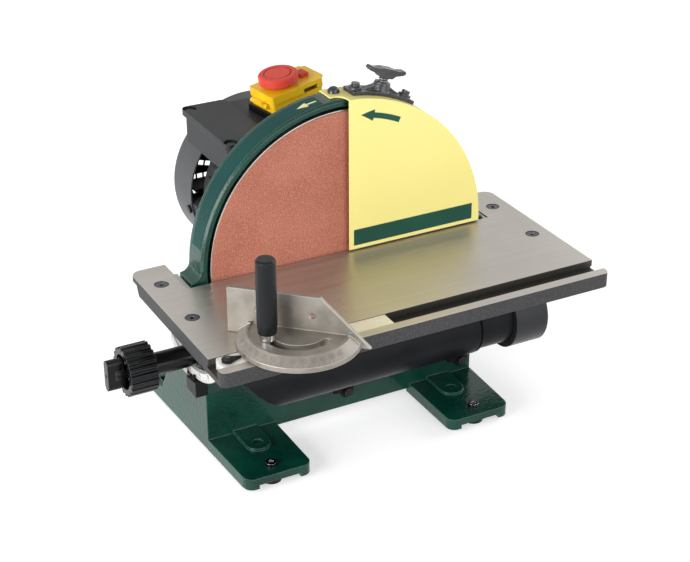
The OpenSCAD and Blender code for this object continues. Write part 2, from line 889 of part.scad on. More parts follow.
module duct_side(inset, back) {
    r = duct_front_r - inset;
    tangent = r / sqrt(2);
    polygon([
        [-duct_lip, duct_lip_z(inset)], [outlet_y - tangent, outlet_z + tangent], [outlet_y, outlet_z - r],
        [back, duct_bottom + inset], [back, duct_lip_z(inset)]
    ]);
    intersection() {
        translate([outlet_y, outlet_z]) circle(r);
        rect([outlet_y - 2 * r, outlet_z - 2 * r], [back, outlet_z + 2 * r]);
    }
}
module duct_front(inset) {
    intersection() {
        union() {
            translate([0, axis_z]) circle(duct_r - inset);
            rect([0, duct_bottom + inset], [duct_right - inset, axis_z]);
        }
        rect([inset - duct_left, duct_bottom + inset], [duct_right - inset, axis_z]);
    }
}
module duct_space(inset, back) {
    intersection() {
        along_x(-duct_r, duct_r) children();
        along_y(-table_front, back) duct_front(inset);
    }
}
module duct_screw_places() {
    for (share = duct_screw_shares)
        translate([share * duct_right, 0, duct_screw_z(share * duct_right)]) children();
}
module dust_duct() {
    color([0.17, 0.17, 0.18]) difference() {
        union() {
            duct_space(0, 0) duct_side(0, 0);
            duct_screw_places() {
                rod_y(-duct_flange_t, 0, 2 * duct_ear_r, 0, 0);
                block([-2 * duct_ear_r, -duct_flange_t, 0], [duct_ear_r, 0, duct_ear_r]);
            }
        }
        duct_space(duct_wall, overrun) duct_side(duct_wall, overrun);
        duct_space(duct_wall, overrun) rect([duct_wall - duct_lip, duct_bottom], [overrun, axis_z]);
        rod_x(duct_right - 2 * duct_wall, duct_right + overrun, outlet_d + 2 * fit_gap, outlet_y, outlet_z);
        duct_screw_places() rod_y(-duct_flange_t - overrun, overrun, duct_screw_d + 2 * fit_gap, 0, 0);
    }
}
module outlet_tube() {
    color([0.2, 0.2, 0.21]) difference() {
        union() {
            rod_x(outlet_x - duct_wall, collar_x + collar_lap, outlet_d, outlet_y, outlet_z);
            rod_x(outlet_x, outlet_x + outlet_bead_l, outlet_d + 2 * outlet_bead, outlet_y, outlet_z);
        }
        rod_x(outlet_x - outlet_inset, outlet_end, outlet_d - 2 * duct_wall, outlet_y, outlet_z);
    }
}
module outlet_collar() {
    color([0.2, 0.2, 0.21]) difference() {
        rod_x(collar_x, outlet_end, collar_d, outlet_y, outlet_z);
        rod_x(collar_x - overrun, outlet_end, outlet_d + 2 * fit_gap, outlet_y, outlet_z);
        rod_x(collar_x + collar_lap, outlet_end + overrun, collar_d - 2 * duct_wall, outlet_y, outlet_z);
    }
}
module duct_screws() {
    color("black") duct_screw_places() {
        rod_y(-duct_flange_t - duct_screw_head_h, -duct_flange_t, duct_screw_head_d, 0, 0);
        rod_y(-duct_flange_t, wall_t, duct_screw_d, 0, 0);
    }
}

// Motor
module motor_body() {
    color("dimgray") difference() {
        along_y(motor_front, motor_rear) translate([0, axis_z]) {
            circle(core_r);
            for (i = [0 : fins - 1])
                rotate(2 * half_turn * i / fins) rect([core_r - fin_t, -fin_t / 2], [fin_r, fin_t / 2]);
        }
        rod_y(motor_front - overrun, motor_rear + overrun, 2 * motor_bore_r, 0, axis_z);
    }
}
module front_bell() {
    seat = hoop_depth + bell_front_t;
    color("gray") difference() {
        turned() polygon([
            [seal_r, hoop_depth], [bell_r, hoop_depth], [bell_r, motor_front],
            [bearing_d / 2 + fit_gap, motor_front], [bearing_d / 2 + fit_gap, seat], [seal_r, seat]
        ]);
        flange_bolt_places()
            rod_y(hoop_depth - overrun, hoop_depth + flange_bolt_l + fit_gap, flange_bolt_d + 2 * fit_gap, 0, 0);
    }
}
module cowl_lug_places() {
    for (i = [0 : 3])
        translate([0, 0, axis_z]) rotate([0, i * quarter_turn - cowl_lug_turn, 0]) children();
}
module rear_bell() {
    seat = motor_rear + bearing_w;
    middle = (cowl_front + cowl_lug_back) / 2;
    color("gray") difference() {
        union() {
            turned() polygon([
                [bearing_d / 2 + fit_gap, motor_rear], [bell_r, motor_rear], [bell_r, rear_bell_back],
                [seal_r, rear_bell_back], [seal_r, seat], [bearing_d / 2 + fit_gap, seat]
            ]);
            intersection() {
                cowl_lug_places() block([bell_r - cowl_lug_w, cowl_lug_front, -cowl_lug_w / 2],
                                        [cowl_r, cowl_lug_back, cowl_lug_w / 2]);
                rod_y(cowl_lug_front, cowl_lug_back, 2 * (cowl_r - cowl_t - fit_gap), 0, axis_z);
            }
        }
        rod_y(rear_bell_back, cowl_lug_back + overrun, 2 * (bell_r - cowl_set), 0, axis_z);
        cowl_lug_places() rod_x(bell_r, cowl_r, cowl_screw_d + 2 * fit_gap, middle, 0);
    }
}
module stator() {
    color("peru") turned()
        rect([rotor_r + air_gap, stator_front], [motor_bore_r - fit_gap, stator_back]);
}
module rotor_core() {
    color("silver") turned() rect([shaft_r + fit_gap, stator_front], [rotor_r, stator_back]);
}
module motor_shaft() {
    color("lightgray") rod_y(shaft_front, shaft_back, shaft_d, 0, axis_z);
}
module bearing(front) {
    groove = bearing_w / 4;
    turned() difference() {
        rect([shaft_r + shaft_gap, front], [bearing_d / 2, front + bearing_w]);
        rect([shaft_r + groove, front - overrun], [bearing_d / 2 - groove, front + groove / 2]);
    }
}
module front_bearing() {
    color("silver") bearing(hoop_depth + bell_front_t);
}
module rear_bearing() {
    color("silver") bearing(motor_rear);
}
module cooling_fan() {
    color("black") difference() {
        union() {
            rod_y(fan_front, fan_back, fan_hub_d, 0, axis_z);
            for (i = [0 : fan_blades - 1])
                translate([0, 0, axis_z]) rotate([0, 2 * half_turn * i / fan_blades, 0])
                    block([shaft_r + fan_hub_wall / 2, fan_front, -fan_blade_t / 2], [fan_r, fan_back, fan_blade_t / 2]);
        }
        rod_y(fan_front - overrun, fan_back + overrun, shaft_d + 2 * fit_gap, 0, axis_z);
    }
}
module fan_cowl() {
    inner = cowl_r - cowl_t;
    middle = (cowl_front + cowl_lug_back) / 2;
    color("gray") difference() {
        turned() polygon([
            [inner, cowl_front], [cowl_r, cowl_front], [cowl_r, cowl_back - cowl_corner],
            [cowl_r - cowl_corner, cowl_back], [0, cowl_back], [0, cowl_back - cowl_t],
            [inner - cowl_corner, cowl_back - cowl_t], [inner, cowl_back - cowl_t - cowl_corner]
        ]);
        for (i = [0 : cowl_slots - 1])
            translate([0, 0, axis_z]) rotate([0, 2 * half_turn * i / cowl_slots, 0])
                along_y(cowl_back - cowl_t - overrun, cowl_back + overrun) {
                    rect([cowl_slot_in, -cowl_slot_w / 2], [cowl_slot_out, cowl_slot_w / 2]);
                    translate([cowl_slot_out, 0]) circle(d = cowl_slot_w);
                }
        cowl_lug_places() rod_x(bell_r, cowl_r + overrun, cowl_screw_d + 2 * fit_gap, middle, 0);
    }
}
module cowl_screws() {
    middle = (cowl_front + cowl_lug_back) / 2;
    color("black") cowl_lug_places() {
        rod_x(bell_r, cowl_r, cowl_screw_d, middle, 0);
        rod_x(cowl_r, cowl_r + cowl_screw_head_h, cowl_screw_head_d, middle, 0);
    }
}

// Terminal box
module terminal_box() {
    color("dimgray") difference() {
        union() {
            along_z(box_top - box_h, box_top) round_rect([-box_left, box_front], [box_right, box_rear], box_r);
            block([-neck_half, box_front + neck_inset, box_top - box_h - neck_drop],
                  [neck_half, motor_rear - neck_inset, box_top - box_h]);
        }
        rod_y(box_front - overrun, motor_rear, 2 * (fin_r + fit_gap), 0, axis_z);
        rod_y(motor_rear, box_rear + overrun, 2 * (cowl_r + run_gap), 0, axis_z);
        rod_x(box_right - gland_nut_l, box_right + overrun, gland_thread_d, gland_y, box_top - box_h / 2);
    }
}
module lid_screw_places() {
    for (x = [lid_boss_r - box_left, box_right - lid_boss_r])
        for (y = [box_front + lid_boss_r, box_rear - lid_boss_r])
            translate([x, y, box_top]) children();
}
module terminal_lid() {
    low = [-box_left - lid_lap, box_front - lid_lap];
    high = [box_right + lid_lap, box_rear + lid_lap];
    color([0.24, 0.24, 0.25]) difference() {
        union() {
            along_z(box_top, box_top + lid_t) round_rect(low, high, box_r);
            along_z(box_top, box_top + lid_t + lid_raise) round_rect(low, [low[0] + lid_step, high[1]], box_r);
        }
        lid_screw_places() {
            rod_z(-overrun, lid_t + overrun, lid_screw_d + 2 * fit_gap, 0, 0);
            rod_z(lid_t, lid_t + lid_raise + overrun, 2 * (lid_screw_d + lid_lap), 0, 0);
        }
    }
}
module lid_screws() {
    color("black") lid_screw_places() {
        rod_z(0, lid_t, lid_screw_d, 0, 0);
        rod_z(lid_t, lid_t + lid_screw_h, 2 * lid_screw_d, 0, 0);
    }
}
module cable_gland() {
    z = box_top - box_h / 2;
    color("black") difference() {
        union() {
            rod_x(box_right - gland_nut_l, box_right, gland_thread_d - 2 * fit_gap, gland_y, z);
            translate([box_right, gland_y, z]) rotate([0, quarter_turn, 0])
                cylinder(h = gland_nut_l, d = gland_nut_d, $fn = 6);
            rod_x(box_right, box_right + gland_l, gland_neck_d, gland_y, z);
        }
        rod_x(box_right - gland_nut_l / 2, box_right + gland_l + overrun, gland_bore_d, gland_y, z);
    }
}

// Guard
module guard_outline() {
    intersection() {
        translate([0, axis_z]) circle(guard_rim_out);
        rect([guard_left, table_height + guard_lift], [2 * guard_rim_out, axis_z + 2 * guard_rim_out]);
    }
}
module guard_rim() {
    turned() rect([guard_rim_in, guard_face - sheet_t], [guard_rim_out, guard_rim_back]);
}
// Tab at the guard's upper end, which sweeps back from the front edge
module guard_tab_plan() {
    front = guard_rim_back - guard_tab_l;
    rect([-guard_tab, front], [2 * guard_left, guard_rim_back]);
    difference() {
        rect([guard_left - guard_tab_r, front - guard_tab_r], [2 * guard_left, 2 * front]);
        translate([guard_left - guard_tab_r, front - guard_tab_r]) circle(guard_tab_r);
    }
}
module disc_guard() {
    top = axis_z + 2 * guard_rim_out;
    color([0.99, 0.94, 0.6]) difference() {
        union() {
            along_y(guard_face - sheet_t, guard_face) guard_outline();
            intersection() {
                guard_rim();
                union() {
                    block([guard_left, guard_face - sheet_t, table_height + guard_lift], [2 * guard_rim_out, -run_gap, top]);
                    along_z(table_height + ear_rise + ear_fillet_r + run_gap, top)
                        rect([guard_left, -2 * run_gap], [2 * guard_rim_out, guard_rim_back]);
                    along_z(axis_z, top) guard_tab_plan();
                }
            }
        }
        radial(brake_turn, brake_y) cylinder(h = 2 * guard_rim_out, d = brake_pad_d + 2 * run_gap);
        radial(guard_screw_turn, guard_screw_y) cylinder(h = 2 * guard_rim_out, d = guard_screw_d + 2 * fit_gap);
        brake_screw_places() cylinder(h = 2 * guard_rim_out, d = brake_screw_d + 2 * fit_gap);
    }
}
dome_steps = 5;
function dome_point(i, r) = r * [cos(quarter_turn * i / dome_steps), sin(quarter_turn * i / dome_steps)];
module guard_screw() {
    color("black") radial(guard_screw_turn, guard_screw_y) {
        rod_z(hoop_in_r, guard_rim_out, guard_screw_d, 0, 0);
        translate([0, 0, guard_rim_out]) rotate_extrude()
            polygon(concat(
                [[0, 0]], [for (i = [0 : dome_steps - 1]) dome_point(i, guard_screw_head_d / 2)],
                [[0, dome_point(dome_steps - 1, guard_screw_head_d / 2)[1]]]
            ));
    }
}

// Brake
module brake_screw_places() {
    for (turn = [-brake_screw_turn, brake_screw_turn])
        radial(brake_turn + turn, brake_y) children();
}
module brake_bracket() {
    reach = 2 * bracket_seat;
    root = bracket_seat + bracket_t / 2;
    color([0.25, 0.25, 0.27]) difference() {
        union() {
            intersection() {
                turned() rect([bracket_seat, brake_y - bracket_w / 2], [bracket_seat + bracket_t, brake_y + bracket_w / 2]);
                radial(brake_turn, 0) along_y(-hoop_depth, 2 * hoop_depth)
                    polygon([[0, 0], [-reach * tan(bracket_half), reach], [reach * tan(bracket_half), reach]]);
            }
            brake_screw_places() rod_z(root, brake_screw_seat, lug_pad_d, 0, 0);
            radial(brake_turn, brake_y) translate([0, 0, root])
                cylinder(h = brake_boss_top - root, r1 = boss_low_r, r2 = boss_high_r);
            radial(brake_turn, brake_y) along_y(-gusset_t / 2, gusset_t / 2) polygon([
                [-gusset_half, root - bracket_t / 4], [gusset_half, root - bracket_t / 4],
                [boss_high_r / 2, brake_boss_top - bracket_t / 2], [-boss_high_r / 2, brake_boss_top - bracket_t / 2]
            ]);
        }
        radial(brake_turn, brake_y) {
            cylinder(h = 2 * bracket_seat, d = brake_rod_d + 2 * shaft_gap);
            rod_z(spring_low, 2 * bracket_seat, 2 * spring_seat_r, 0, 0);
        }
        brake_screw_places() cylinder(h = 2 * bracket_seat, d = brake_screw_d + 2 * fit_gap);
    }
}
module brake_screws() {
    color("black") brake_screw_places() {
        rod_z(hoop_in_r, brake_screw_seat, brake_screw_d, 0, 0);
        rod_z(brake_screw_seat, brake_screw_seat + brake_screw_head_h, brake_screw_head_d, 0, 0);
    }
}
function handle_side(shares, side) = [
    for (share = shares) [side * share[0] * brake_handle_l / 2, share[1] * brake_handle_d / 2]
];
function turned_back(list) = [for (i = [len(list) - 1 : -1 : 0]) list[i]];
module brake_plunger() {
    half = brake_handle_l / 2;
    color([0.2, 0.2, 0.22]) radial(brake_turn, brake_y) {
        rod_z(brake_pad_r + brake_pad_h, brake_handle_r, brake_rod_d, 0, 0);
        translate([0, 0, brake_handle_r]) intersection() {
            along_y(-handle_half, handle_half) polygon(concat(
                handle_side(handle_rise_shares, 1), turned_back(handle_side(handle_rise_shares, -1)),
                turned_back(handle_side(handle_drop_shares, -1)), handle_side(handle_drop_shares, 1)
            ));
            along_z(-brake_handle_d, brake_handle_d) polygon([
                [half, -handle_end_half], [half, handle_end_half], [0, handle_half], [-half, handle_end_half],
                [-half, -handle_end_half], [0, -handle_half]
            ]);
        }
    }
}
module brake_pad() {
    color("saddlebrown") radial(brake_turn, brake_y)
        rod_z(brake_pad_r, brake_pad_r + brake_pad_h, brake_pad_d, 0, 0);
}
// Return spring: rings of points along a helix round the plunger's rod
spring_r = brake_rod_d / 2 + brake_spring_d;
spring_curl_rings = 8;
spring_rings = spring_curl_rings * brake_spring_turns;
spring_sides = 6;
spring_rise = spring_high - spring_low - brake_spring_d - 2 * shaft_gap;
function spring_point(i, k) =
    let (turn = 2 * half_turn * i / spring_curl_rings)
    let (side = 2 * half_turn * k / spring_sides)
    let (r = spring_r + brake_spring_d / 2 * cos(side))
    [r * cos(turn), r * sin(turn), spring_rise * i / spring_rings + brake_spring_d / 2 * sin(side)];
spring_points = [for (i = [0 : spring_rings]) for (k = [0 : spring_sides - 1]) spring_point(i, k)];
// Least gap between one curl and the next, measured on the points
spring_apart = spring_sides * (spring_curl_rings - 2);
spring_gap = min([
    for (a = [0 : len(spring_points) - spring_apart - 1]) for (b = [a + spring_apart : len(spring_points) - 1])
        norm(spring_points[a] - spring_points[b])
]);
echo(spring_gap = spring_gap);
module brake_spring() {
    n = spring_sides;
    last = spring_rings * n;
    sides = [
        for (i = [0 : spring_rings - 1]) for (k = [0 : n - 1]) for (half = [0, 1])
            let (a = i * n + k, b = i * n + (k + 1) % n)
            half == 0 ? [a, a + n, b] : [b, a + n, b + n]
    ];
    ends = [
        for (k = [1 : n - 2]) for (half = [0, 1])
            half == 0 ? [0, k, k + 1] : [last, last + k + 1, last + k]
    ];
    color("silver") radial(brake_turn, brake_y)
        translate([0, 0, spring_low + brake_spring_d / 2 + shaft_gap]) polyhedron(spring_points, concat(sides, ends));
}

// Table
module table_outline() {
    difference() {
        union() {
            round_rect([-table_half, -table_front], [table_half, 0], front_corner_r);
            round_rect([-table_half, -slot_front], [table_half, table_rear], rear_corner_r);
        }
        rect([-notch_half, -table_gap], [notch_half, table_rear + overrun]);
    }
}
module table_screw_places() {
    for (side = [-1, 1])
        for (y = [screw_front_y, screw_rear_y])
            translate([side * arm_mid, y, table_height - screw_sink]) children();
}
module table_screw(gap) {
    cone_h = (screw_head_d - screw_d) / 2;
    rod_z(-table_t - flange_t + screw_sink, -cone_h, screw_d + 2 * gap, 0, 0);
    translate([0, 0, -cone_h]) cylinder(h = cone_h, d1 = screw_d + 2 * gap, d2 = screw_head_d + 2 * gap);
}
module table_plate() {
    slot_floor = table_height - slot_depth;
    bevel = table_t - edge_land + overrun;
    arm_step = table_rear - arm_thin_l;
    color([0.65, 0.63, 0.6]) difference() {
        along_z(table_bottom, table_height) table_outline();
        along_x(-notch_half, notch_half) polygon([
            [-table_gap, table_height - edge_land], [overrun, table_height - edge_land],
            [overrun, table_bottom - overrun], [-table_gap - bevel, table_bottom - overrun]
        ]);
        both_sides() along_z(table_bottom - overrun, table_height - table_skin_t)
            round_rect([pocket_rib / 2, -pocket_front], [notch_half - pocket_rib, -pocket_rear], pocket_r);
        along_x(-table_half - overrun, table_half + overrun) translate([-slot_front, slot_floor]) {
            rect([-slot_w / 2, 0], [slot_w / 2, slot_depth + overrun]);
            rect([-undercut_w / 2, 0], [undercut_w / 2, undercut_h]);
        }
        along_x(-table_half - overrun, table_half + overrun) polygon([
            [arm_step - arm_slope, table_bottom - overrun], [table_rear + overrun, table_bottom - overrun],
            [table_rear + overrun, table_height - arm_thin_t], [arm_step, table_height - arm_thin_t]
        ]);
        table_screw_places() {
            table_screw(fit_gap);
            rod_z(0, screw_sink + overrun, screw_head_d + 2 * fit_gap, 0, 0);
        }
    }
}
module table_screws() {
    color("dimgray") table_screw_places() difference() {
        table_screw(0);
        translate([0, 0, -screw_d / 2]) cylinder(h = screw_d, d = screw_d * key_share, $fn = 6);
    }
}

// Trunnions, drawn as depth across and height up, about the tilt axis
function swung(r, turn) = [-r * sin(turn), -r * cos(turn)];

module sector(r, from, to) {
    polygon([[0, 0], swung(2 * r, from), swung(2 * r, (from + to) / 2), swung(2 * r, to)]);
}
module arc_band(r_in, r_out, from, to) {
    intersection() {
        difference() {
            circle(r_out);
            circle(r_in);
        }
        sector(r_out, from, to);
    }
}
module guide_slot(r) {
    half = guide_bolt_d / 2 + guide_slot_gap;
    arc_band(r - half, r + half, 0, tilt_max);
    for (turn = [0, tilt_max])
        translate(swung(r, turn)) circle(half + slot_end_relief);
}
// Slot whose far side carries straight flanked internal teeth
module toothed_slot() {
    arc_band(arc_slot_in, arc_r - arc_tip, -tilt_margin, tilt_max + tilt_margin);
    step = 2 * half_turn / arc_teeth;
    half = PI * tooth_module / 4 + backlash / 2;
    lean = tan(pressure_angle);
    low = arc_tip + backlash;
    for (i = [-floor(tilt_margin / step) : floor((tilt_max + tilt_margin) / step)])
        rotate(-i * step) polygon([
            [-half - low * lean, low - arc_r], [half + low * lean, low - arc_r],
            [half - tooth_root * lean, -arc_r - tooth_root], [tooth_root * lean - half, -arc_r - tooth_root]
        ]);
}
module trunnion_outline(r) {
    intersection() {
        circle(r);
        rect([-trunnion_front, -r], [trunnion_rear, -table_t]);
    }
    rect([-strip_front, -table_t - flange_t], [strip_rear, -strip_drop]);
}
module trunnion_flange() {
    along_z(table_bottom - flange_t, table_bottom)
        rect([trunnion_inner, -flange_front], [flange_out, flange_rear]);
}
module left_trunnion() {
    color("silver") difference() {
        union() {
            along_x(-trunnion_face, -trunnion_inner) translate([0, table_height]) difference() {
                trunnion_outline(left_trunnion_r);
                toothed_slot();
                guide_slot(left_guide_r);
            }
            mirror([1, 0, 0]) trunnion_flange();
        }
        table_screw_places() table_screw(fit_gap);
    }
}
module right_trunnion() {
    color("silver") difference() {
        union() {
            along_x(trunnion_inner, trunnion_face) translate([0, table_height]) difference() {
                trunnion_outline(right_trunnion_r);
                guide_slot(right_guide_r);
            }
            trunnion_flange();
        }
        table_screw_places() table_screw(fit_gap);
    }
}
module angle_scale() {
    color("white") along_x(-trunnion_face - scale_t, -trunnion_face) translate([0, table_height])
        arc_band(scale_in, scale_out, -scale_rear_turn, scale_front_turn);
}
module guide_bolts() {
    color("dimgray") {
        for (side = [[-1, left_guide_r], [1, right_guide_r]])
            translate([0, 0, table_height - side[1]]) mirror([side[0] < 0 ? 1 : 0, 0, 0]) {
                rod_x(base_front_half - wall_t / 2, trunnion_face + run_gap, guide_bolt_d, 0, 0);
                translate([trunnion_face + run_gap, 0, 0]) rotate([0, quarter_turn, 0])
                    cylinder(h = guide_head_h, d = guide_head_d, $fn = 6);
            }
    }
}
module pointer_block() {
    face = trunnion_face + scale_t + run_gap;
    color("black") {
        along_x(-pad_face - block_t, -pad_face) translate([0, table_height]) difference() {
            rect([-block_front, block_low - table_height], [-block_back, -left_trunnion_r + block_lap]);
            circle(left_trunnion_r + 2 * run_gap);
        }
        along_x(-face - pointer_t, -face) translate([0, table_height]) rotate(-pointer_turn) polygon([
            [-pointer_w / 2, -left_trunnion_r - pointer_w], [pointer_w / 2, -left_trunnion_r - pointer_w],
            [0, pointer_tip - left_trunnion_r]
        ]);
    }
}
module edge_strap() {
    face = trunnion_face + scale_t + run_gap;
    left = strap_y - strap_w / 2;
    right = strap_y + strap_w / 2;
    top = table_height - left_trunnion_r - strap_room;
    color("lightgray") difference() {
        union() {
            block([-pad_face - strap_t, left, top - strap_h], [-pad_face, right, top]);
            block([-face - strap_t, left, top - strap_t], [-pad_face, right, top]);
            block([-face - strap_t, left, top - strap_t], [-face, right, top + strap_hook]);
        }
        rod_x(-pad_face - strap_t - overrun, -pad_face + overrun, strap_screw_d + 2 * fit_gap, strap_y, strap_z);
    }
}
module strap_screw() {
    color("dimgray") {
        rod_x(-pad_face - strap_t, strap_screw_l - pad_face, strap_screw_d, strap_y, strap_z);
        translate([-pad_face - strap_t - strap_screw_head_h, strap_y, strap_z]) rotate([0, quarter_turn, 0])
            cylinder(h = strap_screw_head_h, d = strap_screw_head_d, $fn = 6);
    }
}

// Tilt drive
pinion_base_r = pinion_r * cos(pressure_angle);
pinion_tip_r = pinion_r + tooth_tip;
pinion_root_r = pinion_r - tooth_root;
flank_steps = 5;
function involute_turn(r) =
    let (angle = acos(pinion_base_r / r))
    tan(angle) * half_turn / PI - angle;
function tooth_half(r) =
    quarter_turn / pinion_teeth - backlash / 4 / pinion_r * half_turn / PI
    + involute_turn(pinion_r) - involute_turn(r);
function flank_r(i) = pinion_base_r + (pinion_tip_r - pinion_base_r) * i / flank_steps;
function polar(r, turn) = [r * sin(turn), -r * cos(turn)];
module pinion_outline() {
    step = 2 * half_turn / pinion_teeth;
    polygon([
        for (tooth = [0 : pinion_teeth - 1]) each concat(
            [polar(pinion_root_r, tooth * step - tooth_half(pinion_base_r))],
            [for (i = [0 : flank_steps]) polar(flank_r(i), tooth * step - tooth_half(flank_r(i)))],
            [for (i = [flank_steps : -1 : 0]) polar(flank_r(i), tooth * step + tooth_half(flank_r(i)))],
            [polar(pinion_root_r, tooth * step + tooth_half(pinion_base_r))]
        )
    ]);
}
module pinion_sleeve() {
    color([0.15, 0.15, 0.16]) difference() {
        union() {
            along_x(-sleeve_in, -trunnion_inner) translate([0, pinion_z]) pinion_outline();
            rod_x(-sleeve_out, -sleeve_in, sleeve_d, 0, pinion_z);
            rod_x(-sleeve_out - spigot_l, -sleeve_out, spigot_d, 0, pinion_z);
            rod_x(-trunnion_inner, journal_l - lug_face, journal_d, 0, pinion_z);
        }
        rod_x(-lock_out, 0, lock_rod_d + 2 * shaft_gap, 0, pinion_z);
    }
}
module tilt_knob() {
    color([0.17, 0.17, 0.18]) difference() {
        along_x(-knob_out, -sleeve_out) translate([0, pinion_z]) difference() {
            circle(d = knob_d);
            for (i = [0 : knob_flutes - 1])
                rotate(2 * half_turn * i / knob_flutes) translate([knob_d / 2, 0]) circle(flute_r);
        }
        rod_x(-sleeve_out - spigot_l - fit_gap, overrun - sleeve_out, spigot_d + 2 * fit_gap, 0, pinion_z);
        rod_x(-knob_out - overrun, -sleeve_out, lock_rod_d + 2 * run_gap, 0, pinion_z);
        rod_x(-knob_out - overrun, knob_recess - knob_out, knob_recess_d, 0, pinion_z);
    }
}
module lock_rod() {
    color("lightgray") {
        rod_x(-lock_out + lock_bar_t / 2, -lock_rod_in, lock_rod_d, 0, pinion_z);
        rod_x(-washer_out, washer_t - washer_out, washer_d, 0, pinion_z);
    }
}
module lock_bar() {
    end = lock_bar_l / 2 - lock_bar_w / 2;
    color([0.17, 0.17, 0.18]) difference() {
        union() {
            rod_x(-lock_out + lock_bar_t / 2, -washer_out, bar_hub_d, 0, pinion_z);
            along_x(-lock_out, lock_bar_t - lock_out) translate([0, pinion_z]) {
                rect([-lock_bar_w / 2, -end], [lock_bar_w / 2, end]);
                for (z = [-end, end])
                    translate([0, z]) circle(d = lock_bar_w);
            }
        }
        rod_x(-lock_out + lock_bar_t / 2 - fit_gap, 0, lock_rod_d + 2 * fit_gap, 0, pinion_z);
        rod_x(-lock_out - overrun, -lock_out + lock_bar_t / 4, lock_rod_d / 2, 0, pinion_z);
    }
}

// Mitre gauge
bar_top = table_height - bar_drop;
module mitre_bar() {
    low = [mitre_x - bar_left, mitre_y - bar_lip_w / 2];
    high = [mitre_x + bar_right, mitre_y + bar_lip_w / 2];
    color([0.8, 0.78, 0.72]) difference() {
        intersection() {
            along_x(low[0], high[0]) translate([mitre_y, bar_top]) {
                rect([-bar_w / 2, -bar_h], [bar_w / 2, 0]);
                rect([-bar_lip_w / 2, -bar_h], [bar_lip_w / 2, bar_lip_h - bar_h]);
            }
            along_z(bar_top - bar_h, bar_top) {
                round_rect(low, high, bar_end_r);
                rect([mitre_x, low[1]], high);
            }
        }
        rod_z(bar_top - stud_depth - fit_gap, bar_top + overrun, pivot_d + 2 * fit_gap, mitre_x, mitre_y);
        rod_z(bar_top - stud_depth - run_gap, bar_top + overrun, stud_d + 2 * shaft_gap, mitre_x - head_slot_r, mitre_y);
    }
}
module mitre_pivot() {
    color("silver") rod_z(bar_top - stud_depth, head_z + head_t - pivot_cap, pivot_d, mitre_x, mitre_y);
}
module mitre_pointer() {
    end = mitre_x - head_r - 2 * run_gap;
    color("black") along_z(bar_top, bar_top + mitre_pointer_t) {
        translate([end - mitre_pointer_l, mitre_y]) circle(mitre_pointer_r);
        polygon([
            [end - mitre_pointer_l, mitre_y - mitre_pointer_r], [end, mitre_y],
            [end - mitre_pointer_l, mitre_y + mitre_pointer_r]
        ]);
    }
}
module mitre_place() {
    translate([mitre_x, mitre_y, head_z]) rotate([0, 0, -fence_turn]) children();
}
module head_profile(rise) {
    inner = head_scale_in - head_ridge;
    rotate_extrude() polygon([
        [inner, 0], [head_r, 0], [head_r, head_scale_low + rise], [head_scale_in, head_scale_high + rise],
        [inner, head_scale_high + rise]
    ]);
}
module head_ring() {
    intersection() {
        head_profile(0);
        block([-2 * head_r, -2 * head_r, 0], [2 * head_r, fence_back + fence_t, 2 * head_scale_high]);
    }
    intersection() {
        head_profile(rib_h);
        block([-2 * head_r, fence_back - rib_w, 0], [2 * head_r, fence_back + fence_t, 2 * head_scale_high]);
    }
}
module head_floor() {
    along_z(0, head_t) intersection() {
        circle(head_scale_in);
        rect([-head_r, -head_r], [head_r, fence_back + fence_t]);
    }
}
module head_slot() {
    half = stud_d / 2 + stud_gap;
    along_z(-overrun, head_t + overrun) {
        arc_band(head_slot_r - half, head_slot_r + half, -head_slot_half, head_slot_half);
        for (turn = [-head_slot_half, head_slot_half])
            translate(swung(head_slot_r, turn)) circle(half + slot_end_relief);
    }
}
module mitre_head() {
    color([0.72, 0.7, 0.67]) mitre_place() difference() {
        union() {
            head_floor();
            head_ring();
            along_y(fence_back, fence_back + fence_t) polygon([
                [-fence_left, 0], [fence_right, 0], [fence_right * fence_top_share, fence_h], [-fence_left, fence_h]
            ]);
        }
        head_slot();
        rod_z(-overrun, head_t - pivot_cap + fit_gap, pivot_d + 2 * shaft_gap, 0, 0);
        for (x = [fence_right * fence_hole_share, -fence_right * fence_far_share])
            rod_y(0, fence_back + fence_t + overrun, fence_hole_d, x, fence_h * fence_hole_rise_share);
    }
}
module handle_place() {
    translate([mitre_x - head_slot_r, mitre_y, 0]) children();
}
ferrule_low = head_z + head_t + ferrule_gap;
grip_low = ferrule_low + ferrule_h;
module handle_stud() {
    color("silver") handle_place() {
        rod_z(bar_top - stud_depth, ferrule_low, stud_d, 0, 0);
        rod_z(ferrule_low, grip_low, ferrule_d, 0, 0);
        rod_z(grip_low, grip_low + grip_l / 2, stud_d, 0, 0);
    }
}
module handle_grip() {
    r = grip_d / 2;
    color("black") handle_place() translate([0, 0, grip_low]) difference() {
        rotate_extrude() polygon([
            [0, 0], [r * grip_foot_share, 0], [r, grip_l * grip_waist_share], [r, grip_l - grip_round],
            [r - grip_round, grip_l], [0, grip_l]
        ]);
        rod_z(-overrun, grip_l / 2 + fit_gap, stud_d + 2 * fit_gap, 0, 0);
    }
}

